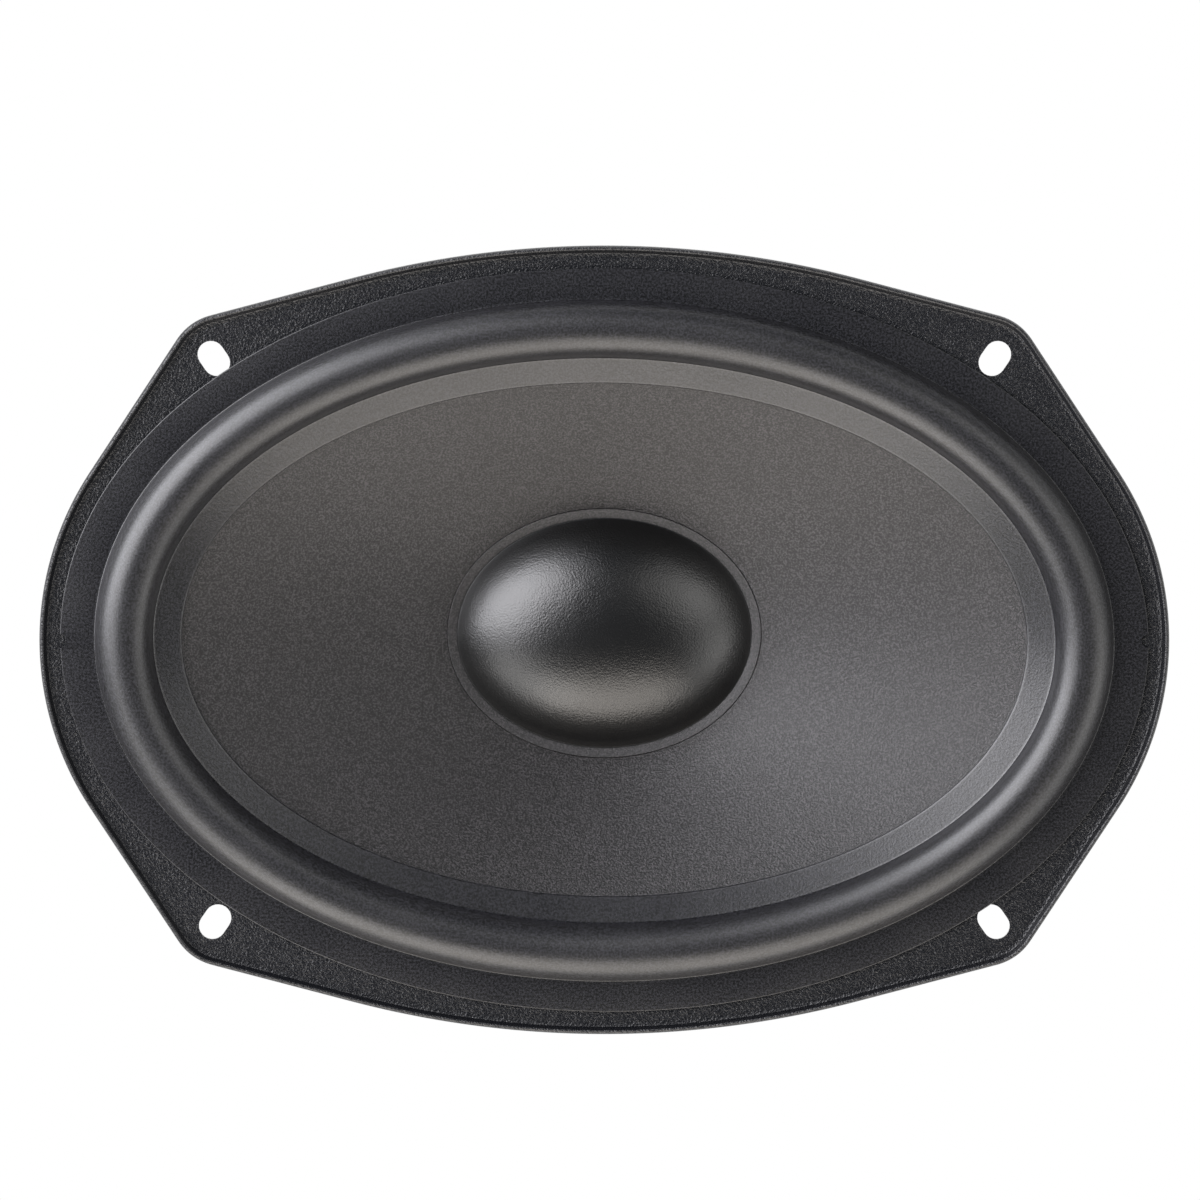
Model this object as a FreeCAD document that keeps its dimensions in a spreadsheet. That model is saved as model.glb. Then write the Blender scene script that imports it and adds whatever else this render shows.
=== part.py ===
"""Oval 6 x 9 in. car woofer: a pulp cone on a half-roll surround in a stamped basket.

Millimetres. The origin is the centre of the flange's rear face, which seats on the
baffle. X runs along the oval's long axis and Z points out at the listener, so the
motor hangs below the flange and the speaker stands on its back plate.
"""
import FreeCAD, Part
import math
import os
import re

import Sketcher

Vector = FreeCAD.Vector
UP = Vector(0, 0, 1)

# ---------------------------------------------------------------- driving dimensions
# A text that starts with "=" is worked out by the sheet from the others. Half axes of
# ovals end in _long (along X) and _short (along Y). Depths are counted from z = 0.

SIZES = {
    # cone, dust cap and neck
    "cone_long": "88.7",
    "cone_short": "54.0",
    "cone_wall": "0.9",
    "neck_depth": "31.5",
    "seat_depth": "21.5",
    "seat_fall": "0.3",
    "cap_long": "31.0",
    "cap_short": "24.2",
    "cap_skirt": "2.2",
    "cap_height": "11",
    "cap_ellipsoid_height": "20",
    "cap_wall": "0.7",
    "skirt_wall": "0.5",
    "eyelet_bore": "0.5",
    "eyelet_radius": "1.1",
    "eyelet_flange": "1.9",
    "eyelet_lip": "0.3",
    "eyelet_angle": "18",
    "eyelet_share": "0.55",
    # turns of the normal at which every oval changes radius, in degrees
    "oval_end_turn": "38",
    "oval_side_turn": "66",
    # surround
    "inner_land": "5.3",
    "inner_land_slope": "28",
    "roll_width": "12.2",
    "outer_land_long": "8.1",
    "outer_land_short": "6.7",
    "rubber": "0.8",
    "notch_radius": "1.3",
    # basket flange
    "sheet": "1.0",
    "rim_long": "4.2",
    "rim_short": "4.7",
    "flange_end_radius": "64.2",
    "flange_side_radius": "208.3",
    "slot_width": "5.65",
    "slot_length": "7.75",
    "slot_angle": "55.5",
    "slot_station": "45.9",
    "ear_reach_long": "5.2",
    "ear_reach_short": "7.85",
    "ear_radius": "12",
    "lip_height": "1.6",
    "lip_width": "1.3",
    # basket bowl
    "bowl_margin": "1.0",
    "skirt_depth": "12",
    "skirt_draft": "4",
    "landing_radius": "49.5",
    "landing_depth": "34.5",
    "cup_radius": "43",
    "basket_depth": "48",
    "basket_bore": "21",
    "arm_width": "12",
    "arm_angle": "55",
    "window_margin": "3",
    "window_corner": "4",
    # motor
    "pole_radius": "12",
    "vent_radius": "4",
    "vent_flare": "2.5",
    "plate_radius": "42",
    "plate_chamfer": "1",
    "top_plate_height": "5",
    "magnet_radius": "45",
    "magnet_bore": "19",
    "magnet_height": "18",
    "back_plate_height": "5",
    "back_chamfer": "2",
    "pole_rise": "0.5",
    "screen_wall": "0.4",
    # voice coil
    "pole_clearance": "0.6",
    "former_wall": "0.3",
    "former_rise": "4",
    "former_tail": "0.5",
    "winding_wall": "0.7",
    "winding_height": "14",
    "gap_clearance": "0.5",
    "collar_wall": "0.3",
    "collar_rise": "2",
    "collar_slit": "6",
    "wire_radius": "0.15",
    "wire_spacing": "3.8",
    # spider
    "cloth": "0.8",
    "spider_margin": "0.5",
    "spider_overhang": "0.7",
    "spider_neck": "2",
    "spider_wave": "1.6",
    # terminals, their board and its lug
    "lug_width": "12",
    "lug_height": "19",
    "board_width": "32",
    "board_height": "18",
    "board_wall": "1.6",
    "board_drop": "2",
    "tab_wall": "0.8",
    "tab_reach": "7",
    "tab_spacing": "21",
    "tab_positive": "6.3",
    "tab_negative": "4.8",
    "tab_hole": "0.8",
    "tail_width": "3",
    "tail_length": "5.5",
    "tail_drop": "5",
    "lead_radius": "0.9",
    "lead_exit": "3",
    "lead_hang": "9",
    "lead_reach": "9",
    "lead_rise": "3.5",
    "lead_return": "17",
    "lead_landing": "6",
    "lead_spread": "1",
    # rivets
    "board_rivet": "1.5",
    "board_rivet_head": "2.7",
    "board_rivet_pitch": "9",
    "tab_rivet": "1.1",
    "tab_rivet_head": "1.9",
    "rivet_wall": "0.8",
    "basket_rivet": "2",
    "basket_rivet_head": "3.6",
    "basket_rivet_circle": "33",
    # clearances
    "glue_gap": "0.1",
    "soft_gap": "0.3",
    "film": "0.05",
    # worked out: surround and flange
    "roll_radius": "=roll_width / 2",
    "edge_long": "=cone_long + inner_land",
    "edge_short": "=cone_short + inner_land",
    "mid_long": "=edge_long + roll_radius",
    "mid_short": "=edge_short + roll_radius",
    "foot_long": "=edge_long + roll_width",
    "foot_short": "=edge_short + roll_width",
    "land_long": "=foot_long + outer_land_long",
    "land_short": "=foot_short + outer_land_short",
    "edge_drop": "=inner_land * tan(inner_land_slope * 1deg)",
    "flange_long": "=land_long + rim_long",
    "flange_short": "=land_short + rim_short",
    "lip_top": "=sheet + lip_height",
    "slot_inset": "=slot_length / 2",
    # worked out: cone
    "edge_level": "=sheet - soft_gap",
    "seat_long": "=cap_long + cap_skirt",
    "seat_short": "=cap_short + cap_skirt",
    "former_inner": "=pole_radius + pole_clearance",
    "former_outer": "=former_inner + former_wall",
    "winding_outer": "=former_outer + winding_wall",
    "collar_outer": "=former_outer + film + collar_wall",
    "neck_radius": "=collar_outer + glue_gap",
    # worked out: spider
    "spider_inner": "=collar_outer + soft_gap",
    "spider_outer": "=landing_radius - spider_margin",
    "wave_start": "=cup_radius - spider_overhang",
    "wave_end": "=spider_inner + spider_neck",
    # worked out: bowl and motor
    "bowl_long": "=foot_long - bowl_margin",
    "bowl_short": "=foot_short - bowl_margin",
    "skirt_long": "=bowl_long - skirt_draft",
    "skirt_short": "=bowl_short - skirt_draft",
    "gap_level": "=-basket_depth - top_plate_height / 2",
    "winding_top": "=gap_level + winding_height / 2",
    "winding_bottom": "=gap_level - winding_height / 2",
    "magnet_top": "=-basket_depth - top_plate_height",
    "back_plate_top": "=magnet_top - magnet_height",
    "back_level": "=back_plate_top - back_plate_height",
    # worked out: terminals
    "lug_face": "=skirt_short + sheet",
    "board_face": "=lug_face + board_wall",
    "board_top": "=-skirt_depth - board_drop",
    "board_bottom": "=board_top - board_height",
    "tail_level": "=board_top - tail_drop",
    "tail_end": "=board_face - tail_length",
}

# Share of a lead's shorter run that its bend takes up, and counts of waves and flats.
LEAD_BEND = 0.45
SPIDER_WAVES = 4
DOME_RINGS = 5
ROLL_FLATS = 6
END_FLATS = 8
SHOULDER_FLATS = 4
SIDE_FLATS = 14

doc = FreeCAD.newDocument("oval_car_woofer")
sheet = doc.addObject("Spreadsheet::Sheet", "sizes")
for row, (alias, text) in enumerate(SIZES.items(), 1):
    sheet.set("A%d" % row, alias)
    sheet.set("B%d" % row, text)
    sheet.setAlias("B%d" % row, alias)
doc.recompute()


def cells(text):
    """The same formula with each of the sheet's names written as a reference to its cell."""
    return re.sub(r"[a-z_]+", lambda word: "sizes." * (word[0] in SIZES) + word[0], text)


def size(text):
    """Present value of a formula in the sheet's names."""
    return float(sheet.evalExpression(cells(text)))


def bind(thing, **formulas):
    """Tie properties to formulas; a double underscore in a name stands for a full stop."""
    for name, text in formulas.items():
        thing.setExpression(name.replace("__", "."), cells(text))
    return thing


# ------------------------------------------------------------------ sketches and solids
parts = []


def keep(thing, label):
    """Take a finished object as one of the speaker's sub-parts."""
    thing.Label = label
    parts.append(thing)
    return thing


def polar(angle, radius):
    """Vector of a given length at an angle in the XY plane."""
    return Vector(radius * math.cos(angle), radius * math.sin(angle), 0)


def solid(kind, name, **formulas):
    """A Part primitive with its sizes and place tied to the sheet."""
    return bind(doc.addObject("Part::" + kind, name), **formulas)


def cylinder(name, radius, bottom, top, x="0", y="0"):
    """Upright cylinder between two levels."""
    height = "(%s) - (%s)" % (top, bottom)
    return solid("Cylinder", name, Radius=radius, Height=height,
                 Placement__Base__x=x, Placement__Base__y=y, Placement__Base__z=bottom)


def box(name, low, high):
    """Block between two corners, each a triple of formulas."""
    thing = doc.addObject("Part::Box", name)
    spans = zip(("Length", "Width", "Height"), "xyz", low, high)
    for side, axis, start, end in spans:
        bind(thing, **{side: "(%s) - (%s)" % (end, start), "Placement__Base__" + axis: start})
    return thing


def fuse(name, things):
    """One solid from several that meet."""
    joined = doc.addObject("Part::MultiFuse", name)
    joined.Shapes = things
    joined.Refine = True
    return joined


def cut(name, base, tools):
    """What is left of base after every tool has been taken out of it."""
    tool = tools[0]
    if len(tools) > 1:
        tool = doc.addObject("Part::MultiFuse", name + "_tools")
        tool.Shapes = tools
    result = doc.addObject("Part::Cut", name)
    result.Base = base
    result.Tool = tool
    return result


def group(name, things):
    """Identical small pieces kept together as separate solids."""
    held = doc.addObject("Part::Compound", name)
    held.Links = things
    return held


def oval_arcs(long_half, short_half):
    """Eight-arc oval as (centre, radius, start, end, flats), anticlockwise from +X.

    Every oval changes radius at the same two turns of its normal, so two of them at
    different levels are joined by a wall without twist, and an offset stays an oval.
    """
    end_turn = math.radians(size("oval_end_turn"))
    side_turn = math.radians(size("oval_side_turn"))
    shoulder = (long_half + short_half) / 2
    across = long_half - shoulder * (math.cos(end_turn) - math.cos(side_turn))
    along = short_half - shoulder * (math.sin(side_turn) - math.sin(end_turn))
    spread = ((1 - math.cos(end_turn)) * (1 - math.sin(side_turn))
              - math.cos(side_turn) * math.sin(end_turn))
    end = (across * (1 - math.sin(side_turn)) - along * math.cos(side_turn)) / spread
    side = (along * (1 - math.cos(end_turn)) - across * math.sin(end_turn)) / spread
    end_centre = Vector(long_half - end, 0, 0)
    side_centre = Vector(0, short_half - side, 0)
    middle = end_centre + polar(end_turn, end - shoulder)
    arcs = []
    for half, way in ((0, 1), (math.pi, -1)):
        mirrored = Vector(-middle.x, middle.y, 0) * way
        arcs += [
            (end_centre * way, end, half - end_turn, half + end_turn, END_FLATS),
            (middle * way, shoulder, half + end_turn, half + side_turn, SHOULDER_FLATS),
            (side_centre * way, side, half + side_turn, half + math.pi - side_turn, SIDE_FLATS),
            (mirrored, shoulder, half + math.pi - side_turn, half + math.pi - end_turn,
             SHOULDER_FLATS),
        ]
    return arcs


def flat_oval(long_half, short_half, level):
    """Corners of a level oval drawn with short flats, each on one of its arcs."""
    corners = []
    for centre, radius, start, stop, flats in oval_arcs(long_half, short_half):
        for step in range(flats):
            turn = start + (stop - start) * step / flats
            corners.append(centre + polar(turn, radius) + UP * level)
    return corners


def pressing(name, corners, hollow=True):
    """Thin pressed form: flats between level ovals, each (half long, half short, level).

    A hollow one is a ring whose last oval joins its first. The other kind is a plug,
    closed by its first and last oval.
    """
    ovals = [flat_oval(*[size(formula) for formula in corner]) for corner in corners]
    pairs = list(zip(ovals, ovals[1:]))
    faces = []
    if hollow:
        pairs.append((ovals[-1], ovals[0]))
    else:
        faces += [Part.Face(Part.makePolygon(oval + oval[:1])) for oval in (ovals[0], ovals[-1])]
    for lower, upper in pairs:
        for number in range(len(lower)):
            here, there = number - 1, number
            loop = [lower[here], lower[there], upper[there], upper[here], lower[here]]
            faces.append(Part.Face(Part.makePolygon(loop)))
    form = Part.Solid(Part.Shell(faces))
    if form.Volume < 0:
        form.reverse()
    thing = doc.addObject("Part::Feature", name)
    thing.Shape = form
    thing.Placement = FreeCAD.Placement()
    return thing


def origin_plane(body, role):
    """One of a body's own three origin planes."""
    return next(plane for plane in body.Origin.OriginFeatures if plane.Role == role)


def new_sketch(body, role, name):
    """Empty sketch on one of a body's origin planes."""
    sketch = body.newObject("Sketcher::SketchObject", name)
    sketch.AttachmentSupport = (origin_plane(body, role), [""])
    sketch.MapMode = "FlatFace"
    return sketch


def polygon(sketch, corners):
    """Closed outline through corners, with both coordinates of each tied to the sheet."""
    points = [Vector(size(across), size(along), 0) for across, along in corners]
    first = sketch.GeometryCount
    count = len(points)
    for number, point in enumerate(points):
        sketch.addGeometry(Part.LineSegment(point, points[(number + 1) % count]))
    for number, (across, along) in enumerate(corners):
        line = first + number
        following = first + (number + 1) % count
        sketch.addConstraint(Sketcher.Constraint("Coincident", line, 2, following, 1))
        for kind, text in (("DistanceX", across), ("DistanceY", along)):
            rule = Sketcher.Constraint(kind, -1, 1, line, 1, size(text))
            index = sketch.addConstraint(rule)
            sketch.setExpression("Constraints[%d]" % index, cells(text))


def turned(name, corners, level="0"):
    """Body of revolution about Z from an outline of (radius, height) corners."""
    body = doc.addObject("PartDesign::Body", name)
    sketch = new_sketch(body, "XZ_Plane", name + "_profile")
    polygon(sketch, corners)
    turn = body.newObject("PartDesign::Revolution", name + "_turn")
    turn.Profile = sketch
    turn.ReferenceAxis = (sketch, ["V_Axis"])
    turn.Angle = 360
    return bind(body, Placement__Base__z=level)


def tube(name, inner, outer, bottom, top):
    """Upright sleeve turned from a rectangle."""
    return turned(name, [(inner, bottom), (outer, bottom), (outer, top), (inner, top)])


def bent_rod(name, points, radius):
    """Eight-sided rod along straight runs joined by tangent arcs."""
    runs = []
    start = points[0]
    for before, corner, after in zip(points, points[1:], points[2:]):
        inward = (before - corner).normalize()
        outward = (after - corner).normalize()
        turn = math.pi - inward.getAngle(outward)
        trim = LEAD_BEND * min(before.distanceToPoint(corner), corner.distanceToPoint(after))
        arc_radius = trim / math.tan(turn / 2)
        middle = corner + (inward + outward).normalize() * (
            math.hypot(arc_radius, trim) - arc_radius)
        arc_start = corner + inward * trim
        arc_end = corner + outward * trim
        runs.append(Part.LineSegment(start, arc_start).toShape())
        runs.append(Part.Arc(arc_start, middle, arc_end).toShape())
        start = arc_end
    runs.append(Part.LineSegment(start, points[-1]).toShape())
    path = Part.Wire(runs)
    facing = FreeCAD.Placement(points[0], FreeCAD.Rotation(UP, points[1] - points[0]))
    corners = [facing.multVec(polar(math.pi / 4 * number, size(radius))) for number in range(8)]
    rod = doc.addObject("Part::Feature", name)
    rod.Shape = path.makePipeShell([Part.makePolygon(corners + corners[:1])], True, True)
    rod.Placement = FreeCAD.Placement()
    expected = 2 * math.sqrt(2) * size(radius) ** 2 * path.Length
    assert abs(rod.Shape.Volume / expected - 1) < 0.02, name
    return rod


# --------------------------------------------------------------------------- surround
# Moulded rubber of one constant section round the oval. The outer land lies on the
# flange, the half roll stands proud of it, and the inner land slopes down onto the cone.
# The land's edge has a locating notch at each end of the oval.

land_top = "sheet + rubber"


def over_roll(radius_text):
    """Ovals up over the half roll at a given roll radius, from outside to inside."""
    ovals = []
    for number in range(ROLL_FLATS + 1):
        turn = 180 * number / ROLL_FLATS
        outward = " + (%s) * cos(%.4f * 1deg)" % (radius_text, turn)
        upward = " + (%s) * sin(%.4f * 1deg)" % (radius_text, turn)
        ovals.append(("mid_long" + outward, "mid_short" + outward, land_top + upward))
    return ovals


surround_top = [("land_long", "land_short", land_top)] + over_roll("roll_radius")
surround_top.append(("cone_long", "cone_short", land_top + " - edge_drop"))
surround_under = [
    ("cone_long", "cone_short", "sheet - edge_drop"),
    ("edge_long", "edge_short", "sheet"),
    ("edge_long + rubber", "edge_short + rubber", "sheet"),
]
surround_under += reversed(over_roll("roll_radius - rubber"))
surround_under += [
    ("foot_long - rubber", "foot_short - rubber", "sheet"),
    ("land_long", "land_short", "sheet"),
]
moulding = pressing("surround_moulding", surround_top + surround_under)
notches = [cylinder("surround_notch_%d" % number, "notch_radius", "0", land_top + " + 1",
                    x="land_long * (%d)" % side) for number, side in enumerate((1, -1))]
keep(cut("surround_notched", moulding, notches), "surround")

# ------------------------------------------------------------------------------- cone
# Pressed pulp, straight sided: round at the neck, oval at the dust cap's seat and at the
# edge, where a band with the inner land's slope carries the surround.

edge_low = "edge_level - edge_drop"
front = [
    ("neck_radius", "neck_radius", "-neck_depth"),
    ("cap_long", "cap_short", "-seat_depth - seat_fall"),
    ("seat_long", "seat_short", "-seat_depth"),
    ("cone_long", "cone_short", edge_low),
    ("edge_long", "edge_short", "edge_level"),
]
rear = [(long_half, short_half, level + " - cone_wall") for long_half, short_half, level in front]
cone_wall = pressing("cone_wall", front + rear[::-1])


def cone_front(turn, share):
    """Point of the cone's front between neck (share 0) and cap seat (share 1)."""
    sections = []
    for long_half, short_half, level in front[:2]:
        for centre, radius, start, stop, _ in oval_arcs(size(long_half), size(short_half)):
            if start <= turn <= stop:
                sections.append(centre + polar(turn, radius) + UP * size(level))
    return sections[0] * (1 - share) + sections[1] * share


def eyelet_seat(side):
    """Middle of the wall and the outward normal where a lead passes through the cone."""
    turn = 1.5 * math.pi + side * math.radians(size("eyelet_angle"))
    share, step = size("eyelet_share"), 0.001
    here = cone_front(turn, share)
    round_way = cone_front(turn + step, share) - here
    out_way = cone_front(turn, share + step) - here
    normal = out_way.cross(round_way).normalize()
    if normal.z < 0:
        normal = -normal
    return here - UP * (size("cone_wall") / 2), normal


def upright_on(spot, direction, lift=0.0):
    """Placement at spot with Z turned to direction, raised along it by lift."""
    return FreeCAD.Placement(spot + direction * lift, FreeCAD.Rotation(UP, direction))


SIDES = {"positive": -1, "negative": 1}
eyelet_holes = []
for pole_name, side in SIDES.items():
    spot, normal = eyelet_seat(side)
    hole = solid("Cylinder", "eyelet_hole_" + pole_name,
                 Radius="eyelet_radius + glue_gap", Height="cone_wall * 4")
    hole.Placement = upright_on(spot, normal, -2 * size("cone_wall"))
    eyelet_holes.append(hole)
keep(cut("cone_pierced", cone_wall, eyelet_holes), "cone")

# --------------------------------------------------------------------------- dust cap
# Oval bulged cap: the top of an ellipsoid, with a flat glue skirt on the cone's seat.

skirt_under = "glue_gap - seat_depth"
cap_base = "skirt_wall + glue_gap - seat_depth"
base_turn = math.degrees(math.asin(size("1 - cap_height / cap_ellipsoid_height")))


def bulge(inset):
    """Ovals up the bulge, inset from its outer face by a wall, to just short of the top."""
    ovals = []
    for number in range(DOME_RINGS):
        turn = base_turn + (90 - base_turn) * number / (DOME_RINGS - 0.5)
        share = " * cos(%.4f * 1deg) / cos(%.4f * 1deg)" % (turn, base_turn)
        rise = "(cap_ellipsoid_height - %s) * sin(%.4f * 1deg)" % (inset, turn)
        sink = "(cap_ellipsoid_height - %s) * sin(%.4f * 1deg)" % (inset, base_turn)
        ovals.append(("(cap_long - %s)" % inset + share, "(cap_short - %s)" % inset + share,
                      "%s + %s - %s" % (cap_base, rise, sink)))
    return ovals


cap_solid = pressing("cap_solid", [("seat_long", "seat_short", skirt_under),
                                   ("seat_long", "seat_short", cap_base)] + bulge("0"), False)
cap_hollow = pressing("cap_hollow", [
    ("cap_long - cap_wall", "cap_short - cap_wall", skirt_under + " - 1")] + bulge("cap_wall"), False)
keep(cut("cap_shell", cap_solid, [cap_hollow]), "dust_cap")

# ------------------------------------------------------------------------- voice coil
# Former with its winding in the gap, a slit paper collar that cone and spider are glued
# to, and the two winding ends, which run up through the slit to the eyelets.

keep(tube("former", "former_inner", "former_outer", "winding_bottom - former_tail",
          "former_rise - neck_depth"), "voice_coil_former")
keep(tube("winding", "former_outer", "winding_outer", "winding_bottom", "winding_top"),
     "voice_coil_winding")

collar_bottom = "winding_top + soft_gap"
collar_top = "collar_rise - neck_depth"
collar_sleeve = tube("collar_sleeve", "former_outer + film", "collar_outer",
                     collar_bottom, collar_top)
slit = box("collar_slit_tool", ("-collar_slit / 2", "-neck_radius * 2", collar_bottom + " - 1"),
           ("collar_slit / 2", "0", collar_top + " + 1"))
keep(cut("collar", collar_sleeve, [slit]), "former_collar")

eyelets = []
wires = []
for pole_name, side in SIDES.items():
    spot, normal = eyelet_seat(side)
    half_wall = size("cone_wall") / 2
    half_barrel = half_wall + size("eyelet_lip + glue_gap")
    barrel = solid("Cylinder", "eyelet_barrel_" + pole_name, Radius="eyelet_radius",
                   Height="cone_wall + (eyelet_lip + glue_gap) * 2")
    barrel.Placement = upright_on(spot, normal, -half_barrel)
    lips = []
    for face, lift in (("front", half_barrel - size("eyelet_lip")), ("rear", -half_barrel)):
        lip = solid("Cylinder", "eyelet_%s_%s" % (face, pole_name), Radius="eyelet_flange",
                    Height="eyelet_lip")
        lip.Placement = upright_on(spot, normal, lift)
        lips.append(lip)
    bore = solid("Cylinder", "eyelet_bore_" + pole_name, Radius="eyelet_bore",
                 Height="cone_wall * 4")
    bore.Placement = upright_on(spot, normal, -2 * size("cone_wall"))
    eyelets.append(cut("eyelet_" + pole_name, fuse("eyelet_blank_" + pole_name, [barrel] + lips),
                       [bore]))

    foot_x = side * size("wire_spacing / 2")
    wire_circle = size("former_outer + film + wire_radius")
    foot = Vector(foot_x, -math.sqrt(wire_circle ** 2 - foot_x ** 2), size("winding_top + film"))
    bend = Vector(foot.x, foot.y, size(collar_top + " + collar_rise / 2"))
    end = spot + normal * (half_barrel + size("wire_radius + film"))
    wires.append(bent_rod("coil_wire_" + pole_name, [foot, bend, end], "wire_radius"))
keep(group("eyelet_pair", eyelets), "lead_eyelets")
keep(group("coil_wire_pair", wires), "coil_lead_wires")

# ----------------------------------------------------------------------------- spider
# Woven disc pressed into rings of waves, glued flat to the basket's landing outside and
# to the collar inside.

under = [("spider_outer", "spider_outer", "-landing_depth"),
         ("wave_start", "wave_start", "-landing_depth")]
for number in range(2 * SPIDER_WAVES):
    share = (number + 0.5) / (2 * SPIDER_WAVES)
    radius = "wave_start + (wave_end - wave_start) * %.4f" % share
    rise = "spider_wave - landing_depth" if number % 2 == 0 else "-spider_wave - landing_depth"
    under.append((radius, radius, rise))
under += [("wave_end", "wave_end", "-landing_depth"),
          ("spider_inner", "spider_inner", "-landing_depth")]
over = [(radius, radius, level + " + cloth") for radius, radius, level in reversed(under)]
keep(pressing("spider_disc", under + over), "spider")

# ------------------------------------------------------------------------------ motor
# Top plate under the basket, ferrite ring, and a forged yoke: back plate and vented pole
# in one. The pole stands just above the top plate inside the voice coil.

plate_bore = "(winding_outer + gap_clearance)"
top_plate_blank = turned("top_plate_blank", [
    (plate_bore, "-top_plate_height"),
    ("plate_radius - plate_chamfer", "-top_plate_height"),
    ("plate_radius", "plate_chamfer - top_plate_height"),
    ("plate_radius", "0"),
    (plate_bore, "0"),
], "-basket_depth")
keep(turned("magnet_ring", [
    ("magnet_bore", "-magnet_height"),
    ("magnet_radius - plate_chamfer", "-magnet_height"),
    ("magnet_radius", "plate_chamfer - magnet_height"),
    ("magnet_radius", "-plate_chamfer"),
    ("magnet_radius - plate_chamfer", "0"),
    ("magnet_bore", "0"),
], "magnet_top"), "magnet")
pole_top = "magnet_height + top_plate_height + pole_rise"
keep(turned("yoke_forging", [
    ("vent_radius + vent_flare", "-back_plate_height"),
    ("plate_radius - back_chamfer", "-back_plate_height"),
    ("plate_radius", "back_chamfer - back_plate_height"),
    ("plate_radius", "0"),
    ("pole_radius", "0"),
    ("pole_radius", pole_top + " - plate_chamfer"),
    ("pole_radius - plate_chamfer", pole_top),
    ("vent_radius", pole_top),
    ("vent_radius", "vent_flare - back_plate_height"),
], "back_plate_top"), "yoke")
screen_level = "back_level + vent_flare"
keep(cylinder("vent_screen", "vent_radius - film", screen_level, screen_level + " + screen_wall"),
     "pole_vent_screen")

# ----------------------------------------------------------------------- basket rivets
# Four solid rivets through the basket's floor into the top plate.

rivets = []
plate_holes = []
floor_holes = []
for number in range(4):
    turn = "(%d + 90) * 1deg" % (90 * number - 45)
    place = {"x": "basket_rivet_circle * cos(%s)" % turn,
             "y": "basket_rivet_circle * sin(%s)" % turn}
    shank = cylinder("rivet_shank_%d" % number, "basket_rivet", "magnet_top + film",
                     "sheet - basket_depth", **place)
    head = cylinder("rivet_head_%d" % number, "basket_rivet_head", "sheet - basket_depth",
                    "sheet - basket_depth + rivet_wall", **place)
    rivets.append(fuse("basket_rivet_%d" % number, [shank, head]))
    plate_holes.append(cylinder("plate_hole_%d" % number, "basket_rivet + film",
                                "magnet_top - 1", "1 - basket_depth", **place))
    floor_holes.append(cylinder("floor_hole_%d" % number, "basket_rivet + film",
                                "-basket_depth - 1", "sheet - basket_depth + 1", **place))
keep(group("basket_rivet_set", rivets), "basket_rivets")
keep(cut("top_plate_drilled", top_plate_blank, plate_holes), "top_plate")

# ----------------------------------------------------------------------- basket flange
# Oval flange with four ears, its edge turned up into a lip, and a slot in each ear.

QUARTERS = ((1, 1), (-1, 1), (-1, -1), (1, -1))


def slot_centre():
    """Slot in the first quarter: its inner end touches the surround's land."""
    station = math.radians(size("slot_station"))
    on_land = Vector(size("land_long") * math.cos(station), size("land_short") * math.sin(station), 0)
    return on_land + polar(math.radians(size("slot_angle")), size("slot_inset"))


def flange_arcs():
    """Arcs of the first quarter as (centre, radius, start angle, end angle)."""
    end_centre = Vector(size("flange_long - flange_end_radius"), 0, 0)
    side_centre = Vector(0, size("flange_short - flange_side_radius"), 0)
    ear = slot_centre() + Vector(size("ear_reach_long"), size("ear_reach_short"), 0)
    to_end = ear - end_centre
    to_side = ear - side_centre
    end_turn = math.atan2(to_end.y, to_end.x) - math.acos(size("flange_end_radius") / to_end.Length)
    side_turn = math.atan2(to_side.y, to_side.x) + math.acos(size("flange_side_radius") / to_side.Length)
    across, along = polar(end_turn, 1), polar(side_turn, 1)
    ear_centre = ear - (across + along) * (size("ear_radius") / (1 + across.dot(along)))
    return [
        (end_centre, size("flange_end_radius"), -end_turn, end_turn),
        (ear_centre, size("ear_radius"), end_turn, side_turn),
        (side_centre, size("flange_side_radius"), side_turn, math.pi - side_turn),
    ]


def draw_flange(sketch, inset):
    """Flange outline moved in by inset: arcs whose ends are joined by tangent lines."""
    end, ear, side = flange_arcs()
    arcs = []
    for half in (0, math.pi):
        way = 1 if half == 0 else -1
        arcs.append((end[0] * way, end[1], end[2] + half, end[3] + half))
        arcs.append((ear[0] * way, ear[1], ear[2] + half, ear[3] + half))
        arcs.append((side[0] * way, side[1], side[2] + half, side[3] + half))
        mirrored = Vector(-ear[0].x, ear[0].y, 0) * way
        arcs.append((mirrored, ear[1], math.pi - ear[3] + half, math.pi - ear[2] + half))
    for number, (centre, radius, start, stop) in enumerate(arcs):
        circle = Part.Circle(centre, UP, radius - inset)
        sketch.addGeometry(Part.ArcOfCircle(circle, start, stop))
        next_centre, next_radius, next_start, _ = arcs[(number + 1) % len(arcs)]
        leave = centre + polar(stop, radius - inset)
        meet = next_centre + polar(next_start, next_radius - inset)
        sketch.addGeometry(Part.LineSegment(leave, meet))


flange = doc.addObject("PartDesign::Body", "flange")
outline = new_sketch(flange, "XY_Plane", "flange_outline")
draw_flange(outline, 0)
blank = flange.newObject("PartDesign::Pad", "flange_blank")
blank.Profile = outline
bind(blank, Length="lip_top")

lip_line = new_sketch(flange, "XY_Plane", "lip_line")
bind(lip_line, AttachmentOffset__Base__z="sheet")
draw_flange(lip_line, size("lip_width"))
tray = flange.newObject("PartDesign::Pocket", "flange_tray")
tray.Profile = lip_line
tray.Type = "ThroughAll"
tray.Reversed = True

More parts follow.
